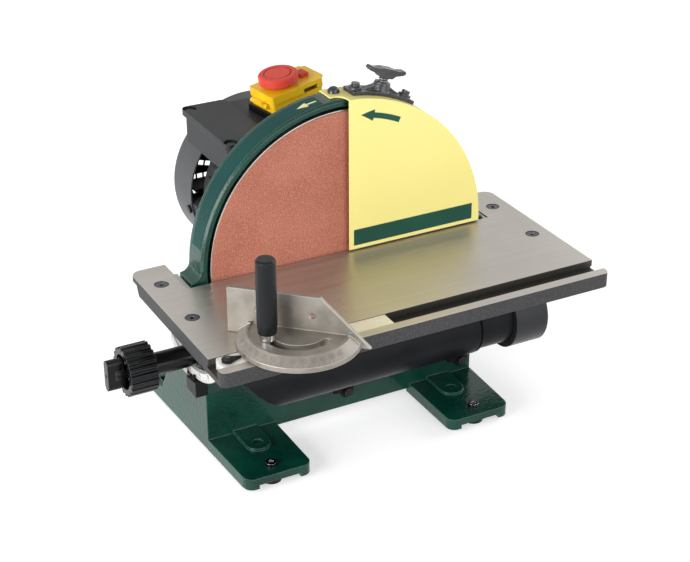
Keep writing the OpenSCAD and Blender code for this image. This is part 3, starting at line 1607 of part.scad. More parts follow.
// Switch
module switch_frame() {
    translate([switch_x, switch_y, lid_low_top]) rotate([0, 0, switch_turn]) children();
}
module switch_plane() {
    switch_frame() translate([-switch_base_l / 2, 0, switch_base_low]) rotate([0, -switch_slope, 0]) children();
}
module switch_base() {
    half = switch_base_l / 2;
    color("black") switch_frame() along_y(-switch_base_w / 2, switch_base_w / 2) polygon([
        [-half, 0], [half, 0], [half, switch_base_low + switch_base_l * tan(switch_slope)], [-half, switch_base_low]
    ]);
}
hinge_x = switch_rim - hinge_d / 2 - cover_gap;
hinge_z = switch_body_h - hinge_set;
hinge_pin_d = hinge_d / 2;
knuckle_gap = hinge_w / 2 + cover_gap;
module switch_outline(lap) {
    round_rect([switch_rim - lap, -switch_w / 2 - lap], [switch_rim + switch_l + lap, switch_w / 2 + lap], switch_r);
}
function button_x(side) = switch_rim + switch_l / 2 + side * switch_l * button_share;
module switch_body() {
    well = switch_body_h - button_head;
    color([0.95, 0.78, 0.12]) switch_plane() difference() {
        union() {
            along_z(0, switch_body_h) switch_outline(0);
            for (side = [0, 1]) mirror([0, side, 0]) {
                rod_y(knuckle_gap, knuckle_gap + knuckle_w, knuckle_d, hinge_x, hinge_z);
                block([hinge_x, knuckle_gap, hinge_z - knuckle_d / 2],
                      [switch_rim + switch_wall, knuckle_gap + knuckle_w, hinge_z + hinge_pin_d / 2]);
            }
            rod_y(-knuckle_gap - knuckle_w / 2, knuckle_gap + knuckle_w / 2, hinge_pin_d, hinge_x, hinge_z);
        }
        along_z(well, switch_body_h + overrun) round_rect(
            [switch_rim + switch_wall, switch_wall - switch_w / 2],
            [switch_rim + switch_l - switch_wall, switch_w / 2 - switch_wall], switch_r);
        for (side = [-1, 1])
            rod_z(switch_floor, switch_body_h + overrun, button_d + 2 * button_gap, button_x(side), 0);
    }
}
button_low = switch_floor + button_travel + button_gap;
module push_button(side) {
    switch_plane() rod_z(button_low, switch_body_h - button_gap, button_d, button_x(side), 0);
}
module start_button() {
    color("green") push_button(1);
}
module stop_button() {
    color("red") push_button(-1);
}
cover_low = switch_body_h + cover_gap;
cover_top = cover_low + cover_h;
mushroom_x = button_x(-1) + mushroom_shift;
module switch_cover() {
    inner = cover_t - cover_lap;
    color([0.95, 0.78, 0.12]) switch_plane() difference() {
        union() {
            along_z(cover_low, cover_top) switch_outline(cover_lap);
            along_z(cover_top - cover_lip_t, cover_top) round_rect(
                [switch_rim + switch_l / 2, switch_r - switch_w / 2],
                [switch_rim + switch_l + cover_lip, switch_w / 2 - switch_r], switch_r);
            rod_y(-hinge_w / 2, hinge_w / 2, hinge_d, hinge_x, hinge_z);
            block([hinge_x - hinge_d / 2, -hinge_w / 2, hinge_z],
                  [switch_rim + cover_t, hinge_w / 2, cover_low + cover_t]);
        }
        along_z(cover_low - overrun, cover_top - cover_t) round_rect(
            [switch_rim + inner, inner - switch_w / 2], [switch_rim + switch_l - inner, switch_w / 2 - inner], switch_r);
        block([switch_rim - cover_lap, -switch_w, hinge_z - hinge_d], [switch_rim + cover_t, switch_w, cover_low]);
        block([switch_rim + switch_l * window_shares[0], -switch_w, cover_low - overrun],
              [switch_rim + switch_l * window_shares[1], 0, cover_low + window_h]);
        rod_z(cover_low, cover_top + overrun, mushroom_stem_d + 2 * mushroom_bore, mushroom_x, 0);
        rod_y(-hinge_w, hinge_w, hinge_pin_d + 2 * shaft_gap, hinge_x, hinge_z);
    }
}
module stop_mushroom() {
    low = cover_top + mushroom_gap;
    r = mushroom_d / 2;
    ring = mushroom_ring_shares;
    groove = mushroom_h - mushroom_groove;
    color([0.85, 0.32, 0.25]) switch_plane() translate([mushroom_x, 0, 0]) {
        rod_z(switch_body_h, low, mushroom_stem_d, 0, 0);
        translate([0, 0, low]) rotate_extrude() polygon([
            [0, 0], [r - mushroom_dome, 0], [r, mushroom_dome], [r, mushroom_h - mushroom_dome],
            [r - mushroom_dome, mushroom_h], [ring[1] * r, mushroom_h], [ring[1] * r, groove], [ring[0] * r, groove],
            [ring[0] * r, mushroom_h], [0, mushroom_h]
        ]);
    }
}
module cover_latch() {
    end = switch_rim + switch_l - latch_set;
    color([0.85, 0.32, 0.25]) switch_plane()
        block([end - latch_l, -latch_w / 2, cover_top + fit_gap], [end, latch_w / 2, cover_top + fit_gap + latch_h]);
}

placed() base_casting();
placed() disc_housing();
placed() rubber_feet();
placed() foot_bolts();
placed() dust_duct();
placed() outlet_tube();
placed() outlet_collar();
placed() duct_screws();
placed() motor_body();
placed() front_bell();
placed() rear_bell();
placed() stator();
placed() rotor_core();
placed() motor_shaft();
placed() front_bearing();
placed() rear_bearing();
placed() cooling_fan();
placed() fan_cowl();
placed() cowl_screws();
placed() flange_bolts();
placed() terminal_box();
placed() terminal_lid();
placed() lid_screws();
placed() cable_gland();
placed() sanding_disc();
placed() abrasive_sheet();
placed() hub_screw();
placed() disc_guard();
placed() guard_screw();
placed() brake_bracket();
placed() brake_screws();
placed() brake_plunger();
placed() brake_pad();
placed() brake_spring();
placed() table_plate();
placed() left_trunnion();
placed() right_trunnion();
placed() angle_scale();
placed() table_screws();
placed() guide_bolts();
placed() pointer_block();
placed() edge_strap();
placed() strap_screw();
placed() pinion_sleeve();
placed() tilt_knob();
placed() lock_rod();
placed() lock_bar();
placed() mitre_bar();
placed() mitre_pivot();
placed() mitre_pointer();
placed() mitre_head();
placed() handle_stud();
placed() handle_grip();
placed() switch_base();
placed() switch_body();
placed() start_button();
placed() stop_button();
placed() switch_cover();
placed() stop_mushroom();
placed() cover_latch();
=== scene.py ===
import math
import bpy
import numpy as np
from mathutils import Matrix


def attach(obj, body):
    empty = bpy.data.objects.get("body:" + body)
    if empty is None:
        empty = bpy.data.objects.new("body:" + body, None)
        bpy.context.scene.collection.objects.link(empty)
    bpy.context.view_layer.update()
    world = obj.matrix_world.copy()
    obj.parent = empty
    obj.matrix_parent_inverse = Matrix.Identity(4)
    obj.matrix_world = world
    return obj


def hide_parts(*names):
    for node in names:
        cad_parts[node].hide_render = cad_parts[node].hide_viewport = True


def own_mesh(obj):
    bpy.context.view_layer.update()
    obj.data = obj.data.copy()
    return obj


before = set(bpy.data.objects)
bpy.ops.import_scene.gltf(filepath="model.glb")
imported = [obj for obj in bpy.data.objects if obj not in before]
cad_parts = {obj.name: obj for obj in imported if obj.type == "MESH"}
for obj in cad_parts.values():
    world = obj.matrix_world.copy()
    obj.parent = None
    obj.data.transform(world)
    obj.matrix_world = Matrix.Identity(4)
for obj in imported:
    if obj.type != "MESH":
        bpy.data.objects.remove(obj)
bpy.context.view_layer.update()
print("frame loaded with", len(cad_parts), "solids")

# sizes in millimetres as the sander stands: x right, y back from the sanding face, z up from the bench
machine = dict(shiftX=22.5, shiftY=-12.85, tableTop=208.0, axisZ=214.7, hoopR=163.5, guardFace=-7.5,
               mitreX=-129.0, mitreY=-155.8, fenceTurn=43.0, headZ=208.4, scaleX=-180.8)
shift = np.array([machine["shiftX"], machine["shiftY"], 0.0])  # from the sander's zero to the frame's
perMetre = 1000.0
fullTurn = 2 * math.pi
white = (1.0, 1.0, 1.0, 1.0)
screenCurve = dict(knee=0.04045, slope=12.92, foot=0.055, power=2.4)  # of a colour on a screen


def toFrame(points):
    # millimetres on the sander become metres in the shared frame
    return (np.asarray(points, float) + shift) / perMetre


def fromFrame(points):
    # metres in the shared frame become millimetres on the sander
    return np.asarray(points, float) * perMetre - shift


def tone(code):
    # a hex colour becomes linear light: a straight line below the knee, a power of the raised share above
    share = np.array([int(code[i:i + 2], 16) for i in (0, 2, 4)]) / 255.0
    curve = ((share + screenCurve["foot"]) / (1 + screenCurve["foot"])) ** screenCurve["power"]
    return tuple(np.where(share <= screenCurve["knee"], share / screenCurve["slope"], curve)) + (1.0,)


def addNode(tree, kind, links=None, **values):
    # one shader node with its settings, its socket values and the sockets that feed it
    node = tree.nodes.new("ShaderNode" + kind)
    for key, value in values.items():
        if hasattr(node, key):
            setattr(node, key, value)
        else:
            node.inputs[key.replace("_", " ")].default_value = value
    for key, socket in (links or {}).items():
        tree.links.new(socket, node.inputs[key])
    return node


def clearTree(owner):
    # the emptied node tree of a material or a world
    owner.use_nodes = True
    owner.node_tree.nodes.clear()
    return owner.node_tree


def startLook(name, look):
    # an empty material with its principled shader
    material = bpy.data.materials.new(name)
    tree = clearTree(material)
    out = tree.nodes.new("ShaderNodeOutputMaterial")
    shader = tree.nodes.new("ShaderNodeBsdfPrincipled")
    tree.links.new(shader.outputs["BSDF"], out.inputs["Surface"])
    shader.inputs["Metallic"].default_value = look["metal"]
    shader.inputs["Specular IOR Level"].default_value = look["specular"]
    shader.inputs["Coat Weight"].default_value = look["coat"]
    shader.inputs["Coat Roughness"].default_value = look["coatRough"]
    return material, tree, shader


def mixColour(tree, factor, low, high):
    # blend of two colours, each a plain value or a socket
    node = tree.nodes.new("ShaderNodeMix")
    node.data_type = "RGBA"
    tree.links.new(factor, node.inputs[0])
    for index, value in ((6, low), (7, high)):  # the sockets of a colour blend
        if isinstance(value, tuple):
            node.inputs[index].default_value = value
        else:
            tree.links.new(value, node.inputs[index])
    return node.outputs[2]


def noise(tree, place, scale, detail, **values):
    # a cloudy value over the piece
    return addNode(tree, "TexNoise", {"Vector": place}, Scale=scale, Detail=detail, **values).outputs["Fac"]


def spread(tree, socket, low, high, fromLow=0.35, fromHigh=0.65):
    # a value stretched from one range to another, by default from where most of a noise lies
    node = addNode(tree, "MapRange", {"Value": socket}, From_Min=fromLow, From_Max=fromHigh, To_Min=low,
                   To_Max=high)
    return node.outputs["Result"]


def softEdge(tree, look):
    # the surface's normal, rounded near its edges
    return addNode(tree, "Bevel", Radius=look["edge"], samples=look["edgeSamples"]).outputs["Normal"]


def addBump(tree, shader, height, edge, look):
    # a height raised on the softened surface
    bump = addNode(tree, "Bump", {"Height": height, "Normal": edge}, Strength=look["bump"],
                   Distance=look["depth"])
    tree.links.new(bump.outputs["Normal"], shader.inputs["Normal"])


# what a finish has where its own dictionary doesn't say
plainLook = dict(metal=0.0, specular=0.5, coat=0.0, coatRough=0.1, driftScale=18.0, driftDetail=4.0,
                 grainScale=900.0, grainDetail=2.0, roughDrift=0.05, edgeSamples=4, depth=0.0004,
                 wearAndHighlightMix=0.7, wearAndHighlightFrom=0.8, wearAndHighlightTo=0.985, hammer=0.0, hammerDetail=1.5, hammerRough=0.4)


def grainLook(name, look):
    # colour and gloss that drift over the piece, with a grained or hammered skin and softened edges,
    # lightened along the edges as part wear, part painted highlight
    look = {**plainLook, **look}
    material, tree, shader = startLook(name, look)
    place = tree.nodes.new("ShaderNodeTexCoord").outputs["Object"]
    if "stretch" in look:
        place = addNode(tree, "Mapping", {"Vector": place}, Scale=look["stretch"]).outputs["Vector"]
    drift = noise(tree, place, look["driftScale"], look["driftDetail"])
    grain = noise(tree, place, look["grainScale"], look["grainDetail"])
    base = mixColour(tree, spread(tree, drift, 0.0, 1.0), tone(look["low"]), tone(look["high"]))
    if "fleck" in look:
        fleck = spread(tree, grain, 0.0, 1.0, look["fleckFrom"], look["fleckTo"])
        base = mixColour(tree, fleck, base, tone(look["fleck"]))
    edge = softEdge(tree, look)
    # a lighter colour along the edges: partly edge wear, partly a painted highlight
    if "wearAndHighlight" in look:  # where the softened normal leaves the flat one
        flat = tree.nodes.new("ShaderNodeNewGeometry").outputs["Normal"]
        bend = addNode(tree, "VectorMath", {0: edge, 1: flat}, operation="DOT_PRODUCT").outputs["Value"]
        wornAndLit = spread(tree, bend, look["wearAndHighlightMix"], 0.0, look["wearAndHighlightFrom"], look["wearAndHighlightTo"])
        base = mixColour(tree, wornAndLit, base, tone(look["wearAndHighlight"]))
    tree.links.new(base, shader.inputs["Base Color"])
    gloss = spread(tree, drift, look["rough"] - look["roughDrift"], look["rough"] + look["roughDrift"])
    tree.links.new(gloss, shader.inputs["Roughness"])
    height = grain
    if look["hammer"]:
        height = noise(tree, place, look["hammer"], look["hammerDetail"], Roughness=look["hammerRough"])
    addBump(tree, shader, height, edge, look)
    return material


# each wear colour lightens its finish's edges: partly wear, partly a painted highlight
looks = {
    "greenHammer": dict(low="06352B", high="0B4235", rough=0.2, roughDrift=0.06, hammer=300.0, bump=0.5,
                        depth=0.0007, coat=0.06, coatRough=0.12, edge=0.0018, driftScale=30.0,
                        specular=0.32, wearAndHighlight="5E8A7C", wearAndHighlightMix=0.5),
    "guardYellow": dict(low="F6E98E", high="F9EE98", rough=0.4, bump=0.05, edge=0.0006, driftScale=6.0,
                        specular=0.3),
    "motorGrey": dict(low="3C3D3F", high="464749", rough=0.4, bump=0.12, grainScale=1400.0, edge=0.0012,
                      specular=0.25, wearAndHighlight="77787A", wearAndHighlightMix=0.5),
    "boxGrey": dict(low="232426", high="2D2E30", rough=0.5, bump=0.3, grainScale=1100.0, edge=0.0012,
                    specular=0.2, wearAndHighlight="5A5B5E", wearAndHighlightMix=0.6),
    "finBlack": dict(low="0D0E0F", high="161719", rough=0.5, bump=0.2, edge=0.0008, specular=0.25),
    "satinBlack": dict(low="0C0D0F", high="131416", rough=0.34, bump=0.12, grainScale=1500.0, edge=0.001,
                       specular=0.14, wearAndHighlight="3E3F42", wearAndHighlightMix=0.5),
    "knobBlack": dict(low="090A0C", high="0F1012", rough=0.2, bump=0.06, edge=0.0012, specular=0.2,
                      wearAndHighlight="66686C"),
    "gripBlack": dict(low="0F1012", high="161719", rough=0.3, bump=0.1, grainScale=1300.0, edge=0.0012,
                      specular=0.2, wearAndHighlight="4A4B4E", wearAndHighlightMix=0.5),
    "ductBlack": dict(low="131417", high="1B1C20", rough=0.36, bump=0.2, grainScale=1200.0, edge=0.001,
                      specular=0.09),
    "collarBlack": dict(low="191A1C", high="222326", rough=0.3, bump=0.15, grainScale=1200.0, edge=0.0012,
                        specular=0.35, wearAndHighlight="55565A", wearAndHighlightMix=0.6),
    "handleGrey": dict(low="26272A", high="36373A", rough=0.26, hammer=520.0, bump=0.7, depth=0.0007,
                       edge=0.001, specular=0.6, metal=0.15, wearAndHighlight="8A8B8E"),
    "darkScrew": dict(low="1A1A1C", high="2A2A2C", rough=0.38, metal=0.7, bump=0.08, edge=0.0005,
                      wearAndHighlight="5C5C5E"),
    "boltSteel": dict(low="3C3D40", high="58595D", rough=0.2, metal=1.0, bump=0.1, edge=0.0007,
                      wearAndHighlight="C4C4C6"),
    # near-black for the painted shade in the outlet's groove
    "sealBlack": dict(low="040405", high="080809", rough=0.7, bump=0.1, edge=0.0003, specular=0.05),
    "brightSteel": dict(low="9A9895", high="B4B2AE", rough=0.34, metal=1.0, bump=0.08, edge=0.0006),
    "zincSteel": dict(low="B9B4AA", high="CFCABF", rough=0.36, metal=1.0, bump=0.1, edge=0.0006),
    "zincYellow": dict(low="C2A45C", high="D8C07E", rough=0.32, metal=1.0, bump=0.06, edge=0.0006,
                       driftScale=60.0),
    "chromeSteel": dict(low="C9C9C9", high="DADADA", rough=0.12, metal=1.0, bump=0.02, edge=0.0008),
    "discAlloy": dict(low="B8B4AE", high="CFCCC6", rough=0.36, metal=1.0, bump=0.1, edge=0.0006),
    "gaugeAlloy": dict(low="868179", high="979189", rough=0.46, metal=0.75, bump=0.22, grainScale=1300.0,
                       edge=0.0009, driftScale=60.0, wearAndHighlight="CFCBC4", wearAndHighlightMix=0.8),
    "barAlloy": dict(low="EFEDE6", high="FAF8F3", rough=0.42, metal=0.55, bump=0.06, edge=0.0006,
                     driftScale=60.0, stretch=(0.15, 6.0, 6.0)),
    "gritCloth": dict(low="A8624E", high="B6705C", rough=0.9, roughDrift=0.04, grainScale=950.0,
                      fleck="CC907D", fleckFrom=0.46, fleckTo=0.68, bump=0.85, depth=0.0007, edge=0.0004,
                      specular=0.2, driftScale=24.0),
    "switchYellow": dict(low="EDBC14", high="F5C81E", rough=0.36, bump=0.05, edge=0.0012, specular=0.4,
                         wearAndHighlight="FBDF6A", wearAndHighlightMix=0.5),
    "stopRed": dict(low="D24435", high="DC5041", rough=0.45, bump=0.06, edge=0.0015, specular=0.2),
    "startGreen": dict(low="14733A", high="1B8545", rough=0.36, bump=0.05, edge=0.0008),
    "windingCopper": dict(low="7D4A2A", high="A5673C", rough=0.4, metal=0.7, bump=0.3, edge=0.0006),
    "liningBrown": dict(low="3A2820", high="50382C", rough=0.85, bump=0.5, edge=0.0004),
    "footRubber": dict(low="101011", high="19191B", rough=0.7, bump=0.3, edge=0.001, specular=0.3),
    "scaleWhite": dict(low="D6D5D1", high="E2E1DD", rough=0.4, metal=0.2, bump=0.03, edge=0.0003),
    "printGreen": dict(low="0A4437", high="0F4E40", rough=0.45, bump=0.03, edge=0.0002, specular=0.3),
    "bandTeal": dict(low="073835", high="0D433F", rough=0.45, bump=0.04, edge=0.0002, driftScale=9.0,
                     specular=0.12),
    "printYellow": dict(low="EBE29A", high="F3ECA8", rough=0.45, bump=0.03, edge=0.0002),
    "inkBlack": dict(low="1C1C1E", high="2A2A2C", rough=0.5, bump=0.02, edge=0.0001),
    "markGrey": dict(low="6E6963", high="7B766F", rough=0.6, bump=0.02, edge=0.0001, specular=0.2),
}
made = {name: grainLook(name, look) for name, look in looks.items()}

# the table's places are in metres of the shared frame
tableLook = dict(low="B2ADA6", high="BEB9B2", stainScale=7.0, stainDetail=5.0, rough=0.38, brush=0.66,
                 line="AAA59E", lineMix=0.3, lineStretch=(3.0, 700.0, 700.0), lineDetail=3.0,
                 lineSmooth=0.05, lineRough=0.07, bump=0.06, depth=0.0002, edge=0.001,
                 topZ=0.208, fadeFrom=0.0012, fadeTo=0.0004, levelFrom=0.9, levelTo=0.95,
                 slotY=-0.16865, slotHalf=0.0135, slotFade=0.0003, slotWall="2E2A25", slotFloor="26221D",
                 paintLow="1D1D1F", paintHigh="262628", paintRough=0.5,
                 speck="515154", speckScale=900.0, speckDetail=2.0, speckMix=0.6, speckFrom=0.5,
                 speckTo=0.68)


def groundTable(look):
    # ground top with lines along its length where it faces up at full height, a brown slot where y is near
    # the slot's middle,
    #  darker where its faces point up, and speckled dark paint elsewhere
    look = {**plainLook, **look}
    material, tree, shader = startLook("groundTable", look)
    coords = tree.nodes.new("ShaderNodeTexCoord")
    place = coords.outputs["Object"]
    spot = addNode(tree, "SeparateXYZ", {"Vector": place})
    facing = addNode(tree, "SeparateXYZ", {"Vector": coords.outputs["Normal"]}).outputs["Z"]
    lines = addNode(tree, "Mapping", {"Vector": place}, Scale=look["lineStretch"]).outputs["Vector"]
    streak = noise(tree, lines, 1.0, look["lineDetail"])
    stain = noise(tree, place, look["stainScale"], look["stainDetail"])
    ground = mixColour(tree, spread(tree, stain, 0.0, 1.0), tone(look["low"]), tone(look["high"]))
    ground = mixColour(tree, spread(tree, streak, 0.0, look["lineMix"]), ground, tone(look["line"]))

    up = spread(tree, facing, 0.0, 1.0, look["levelFrom"], look["levelTo"])
    high = spread(tree, spot.outputs["Z"], 0.0, 1.0, look["topZ"] - look["fadeFrom"],
                  look["topZ"] - look["fadeTo"])
    bare = addNode(tree, "Math", {0: up, 1: high}, operation="MULTIPLY").outputs["Value"]
    fromSlot = addNode(tree, "Math", {0: spot.outputs["Y"]}, operation="SUBTRACT")
    fromSlot.inputs[1].default_value = look["slotY"]
    apart = addNode(tree, "Math", {0: fromSlot.outputs["Value"]}, operation="ABSOLUTE").outputs["Value"]
    inSlot = spread(tree, apart, 1.0, 0.0, look["slotHalf"] - look["slotFade"],
                    look["slotHalf"] + look["slotFade"])

    paint = mixColour(tree, spread(tree, stain, 0.0, 1.0), tone(look["paintLow"]), tone(look["paintHigh"]))
    speck = noise(tree, place, look["speckScale"], look["speckDetail"])
    speck = spread(tree, speck, 0.0, look["speckMix"], look["speckFrom"], look["speckTo"])
    paint = mixColour(tree, speck, paint, tone(look["speck"]))
    # slot colours: a brown on its walls and a darker brown where it faces up
    slotTone = mixColour(tree, up, tone(look["slotWall"]), tone(look["slotFloor"]))
    paint = mixColour(tree, inSlot, paint, slotTone)
    tree.links.new(mixColour(tree, bare, paint, ground), shader.inputs["Base Color"])
    tree.links.new(bare, shader.inputs["Metallic"])

    topRough = spread(tree, streak, look["rough"] - look["lineSmooth"], look["rough"] + look["lineRough"])
    rough = addNode(tree, "Mix", {0: bare, 3: topRough})  # from socket 2 to socket 3
    rough.inputs[2].default_value = look["paintRough"]
    tree.links.new(rough.outputs[0], shader.inputs["Roughness"])
    shader.inputs["Anisotropic"].default_value = look["brush"]
    across = addNode(tree, "CombineXYZ", Y=1.0)  # gloss smears across the ground lines
    tree.links.new(across.outputs["Vector"], shader.inputs["Tangent"])
    addBump(tree, shader, streak, softEdge(tree, look), look)
    return material


made["groundTable"] = groundTable(tableLook)
print("looks made:", len(made))

nodeLooks = {
    "greenHammer": "base_casting disc_housing",
    "guardYellow": "disc_guard",
    "motorGrey": "fan_cowl front_bell rear_bell",
    "boxGrey": "terminal_box terminal_lid",
    "finBlack": "motor_body",
    "handleGrey": "brake_bracket brake_plunger brake_screws",
    "satinBlack": "cable_gland cooling_fan switch_base pointer_block mitre_pointer",
    "knobBlack": "tilt_knob lock_bar pinion_sleeve",
    "gripBlack": "handle_grip",
    "ductBlack": "dust_duct outlet_tube",
    "collarBlack": "outlet_collar",
    "darkScrew": "duct_screws cowl_screws flange_bolts lid_screws hub_screw guide_bolts strap_screw",
    "boltSteel": "foot_bolts guard_screw table_screws",
    "brightSteel": "rotor_core motor_shaft front_bearing rear_bearing brake_spring left_trunnion "
                   "right_trunnion",
    "zincSteel": "edge_strap mitre_pivot",
    "zincYellow": "lock_rod",
    "chromeSteel": "handle_stud",
    "discAlloy": "sanding_disc",
    "gaugeAlloy": "mitre_head",
    "barAlloy": "mitre_bar",
    "gritCloth": "abrasive_sheet",
    "switchYellow": "switch_body switch_cover",
    "stopRed": "stop_mushroom cover_latch stop_button",
    "startGreen": "start_button",
    "windingCopper": "stator",
    "liningBrown": "brake_pad",
    "footRubber": "rubber_feet",
    "scaleWhite": "angle_scale",
    "groundTable": "table_plate",
}
for look, names in nodeLooks.items():
    for name in names.split():
        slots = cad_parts[name].data.materials
        slots.clear()
        slots.append(made[look])
print("solids dressed:", sum(len(names.split()) for names in nodeLooks.values()))


def newPiece(name, points, faces, look, body, slot):
    # a mesh from points in sander millimetres, dressed and riding on its body
    mesh = bpy.data.meshes.new(name)
    mesh.from_pydata(toFrame(points).tolist(), [], faces)
    mesh.update()
    mesh.materials.append(made[look])
    piece = bpy.data.objects.new(name, mesh)
    bpy.context.scene.collection.objects.link(piece)
    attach(piece, body)
    return piece


def slab(top, low):
    # a closed slab between a grid of points and the same grid lowered: both grids and a wall round them
    rows, columns = top.shape[:2]
    index = np.arange(rows * columns).reshape(rows, columns)
    under = index + rows * columns
    upper = np.stack([index[:-1, :-1], index[1:, :-1], index[1:, 1:], index[:-1, 1:]], -1).reshape(-1, 4)
    lower = np.stack([under[:-1, :-1], under[:-1, 1:], under[1:, 1:], under[1:, :-1]], -1).reshape(-1, 4)
    rim = np.concatenate([index[0, :-1], index[:-1, -1], index[-1, :0:-1], index[:0:-1, 0]])
    after = np.roll(rim, -1)
    wall = np.stack([rim, after, after + rows * columns, rim + rows * columns], -1)
    points = np.concatenate([top.reshape(-1, 3), low.reshape(-1, 3)])
    return points, np.concatenate([upper, lower, wall]).tolist()


def tubeFaces(shape, shut):
    # faces over rows of rings: each runs on to the next ring and round to the next point; a tube that
    # isn't shut on itself ends with a flat face on its first and its last ring
    index = np.arange(math.prod(shape)).reshape(shape)
    after, beside = np.roll(index, -1, -2), np.roll(index, -1, -1)
    faces = np.stack([index, after, np.roll(after, -1, -1), beside], -1)
    if shut:
        return faces.reshape(-1, 4).tolist()
    return faces[:-1].reshape(-1, 4).tolist() + [index[0].tolist(), index[-1, ::-1].tolist()]


def turns(sides):
    # even angles once round, without the one that closes the circle
    return np.linspace(0, fullTurn, sides + 1)[:-1]


def onDisc(radius, turn, depth):
    # a point at a radius and a clockwise turn from the top of the disc axis, at a depth
    radius, turn, depth = np.broadcast_arrays(np.asarray(radius, float), np.radians(turn),
                                              np.asarray(depth, float))
    return np.stack([radius * np.sin(turn), depth, machine["axisZ"] + radius * np.cos(turn)], -1)


def onGuard(sizes, front):
    # a print on the guard: its front, and the same points moved back by its thickness
    return slab(front, front + np.array([0.0, sizes["thick"], 0.0]))


def onHoop(sizes, turn, depth):
    # a print on the hoop: raised over its radius, and the same points nearer by the thickness
    outer = machine["hoopR"] + sizes["rise"]
    return slab(onDisc(outer, turn, depth), onDisc(outer - sizes["thick"], turn, depth))


arrowSteps = dict(tail=24, head=12, neck=0.01, tip=0.05)


def arrowGrid(sizes):
    # turns along the arrow and offsets across it: a straight tail, then a barbed head that narrows in
    # proportion to the rest of its length
    tail = sizes["tail"]
    along = np.concatenate([np.linspace(0, tail - arrowSteps["neck"], arrowSteps["tail"]),
                            np.linspace(tail, 1.0, arrowSteps["head"])])
    half = np.where(along < tail, sizes["half"], sizes["barb"] * (1 - along) / (1 - tail))
    half = np.maximum(half, arrowSteps["tip"])  # the tip stays a little blunt
    across = np.array([1.0, 0.0, -1.0])
    turn = sizes["fromTurn"] + (sizes["toTurn"] - sizes["fromTurn"]) * along
    return np.repeat(turn[:, None], len(across), 1), half[:, None] * across


guardArrow = dict(fromTurn=25.6, toTurn=7.0, radius=147.6, tail=0.68, half=3.0, barb=6.2, rise=0.15,
                  thick=0.135)
turn, offset = arrowGrid(guardArrow)
front = onDisc(guardArrow["radius"] + offset, turn, machine["guardFace"] - guardArrow["rise"])
newPiece("guardArrow", *onGuard(guardArrow, front), "printGreen", "stand", "guard_paint")

guardStripe = dict(left=9.7, right=156.0, low=214.2, high=232.5, rise=0.15, thick=0.135, columns=40, rows=6)
across, up = np.meshgrid(np.linspace(guardStripe["left"], guardStripe["right"], guardStripe["columns"]),
                         np.linspace(guardStripe["low"], guardStripe["high"], guardStripe["rows"]),
                         indexing="ij")
front = np.stack([across, np.full_like(across, machine["guardFace"] - guardStripe["rise"]), up], -1)
newPiece("guardStripe", *onGuard(guardStripe, front), "printGreen", "stand", "guard_paint")

hoopBand = dict(fromTurn=-80.0, toTurn=-7.0, front=4.0, back=25.5, rise=0.2, thick=0.15, steps=90)
turn, depth = np.meshgrid(np.linspace(hoopBand["fromTurn"], hoopBand["toTurn"], hoopBand["steps"]),
                          np.array([hoopBand["front"], hoopBand["back"]]), indexing="ij")
newPiece("hoopBand", *onHoop(hoopBand, turn, depth), "bandTeal", "stand", "green_paint")

hoopArrow = dict(fromTurn=-8.0, toTurn=-15.8, middle=13.6, tail=0.5, half=1.3, barb=5.0, rise=0.45,
                 thick=0.25)
turn, offset = arrowGrid(hoopArrow)
newPiece("hoopArrow", *onHoop(hoopArrow, turn, hoopArrow["middle"] + offset), "printYellow", "stand",
         "green_paint")
print("printed marks made")

figures = {  # pen strokes of the figures on a scale, in a box one wide and one high
    "0": [(0, 0), (1, 0), (1, 1), (0, 1), (0, 0)],
    "1": [(0.2, 0.75), (0.6, 1), (0.6, 0)],
    "2": [(0, 1), (1, 1), (1, 0.5), (0, 0.5), (0, 0), (1, 0)],
    "3": [(0, 1), (1, 1), (0.5, 0.55), (1, 0.45), (1, 0), (0, 0)],
    "4": [(0.8, 0), (0.8, 1), (0, 0.3), (1, 0.3)],
    "5": [(1, 1), (0, 1), (0, 0.55), (1, 0.5), (1, 0), (0, 0)],
    "6": [(1, 1), (0, 0.6), (0, 0), (1, 0), (1, 0.5), (0, 0.5)],
}
pen = dict(pitch=0.8, margin=0.1, width=0.55, top=0.08, foot=-0.05)  # shares of a figure's height, then mm


def scaleStrokes(marks):
    # ticks at even steps, the labelled ones longer, and their figures side by side above them: degrees
    # times the arc of one degree give the place along, millimetres the place up
    strokes = []
    perDegree = math.radians(1.0) * marks["radius"]
    size, nearly = marks["figure"], marks["step"] / 2
    for angle in np.arange(marks["from"], marks["to"] + nearly, marks["step"]):
        middle = angle * perDegree
        labelled = abs(angle) % marks["labelStep"] < nearly
        tick = marks["low"] + marks["long" if labelled else "short"]
        strokes.append([(middle, marks["low"]), (middle, tick)])
        text = str(int(round(abs(angle)))) if labelled else ""
        for index, sign in enumerate(text):
            left = middle + ((index - len(text) / 2) * pen["pitch"] + pen["margin"]) * size
            line = np.array(figures[sign]) * [size * pen["width"], size] + [left, tick + marks["gap"]]
            strokes.extend(np.stack([line[:-1], line[1:]], 1).tolist())
    return np.array(strokes, float)


def strokeBars(strokes, width, place):
    # each stroke becomes a thin closed bar: its ends are moved half the width to each side, and place
    # lifts them on a surface
    run = strokes[:, 1] - strokes[:, 0]
    run = run / np.linalg.norm(run, axis=1, keepdims=True)
    side = np.stack([-run[:, 1], run[:, 0]], -1) * width / 2
    u, v = np.moveaxis(np.stack([strokes[:, 0] - side, strokes[:, 1] - side, strokes[:, 1] + side,
                                 strokes[:, 0] + side], 1), -1, 0)
    points = np.concatenate([place(u, v, pen["top"]), place(u, v, pen["foot"])], 1)
    box = np.array([[0, 1, 2, 3], [7, 6, 5, 4], [0, 4, 5, 1], [1, 5, 6, 2], [2, 6, 7, 3], [3, 7, 4, 0]])
    faces = np.arange(len(strokes))[:, None, None] * points.shape[1] + box
    return points.reshape(-1, 3), faces.reshape(-1, 4).tolist()


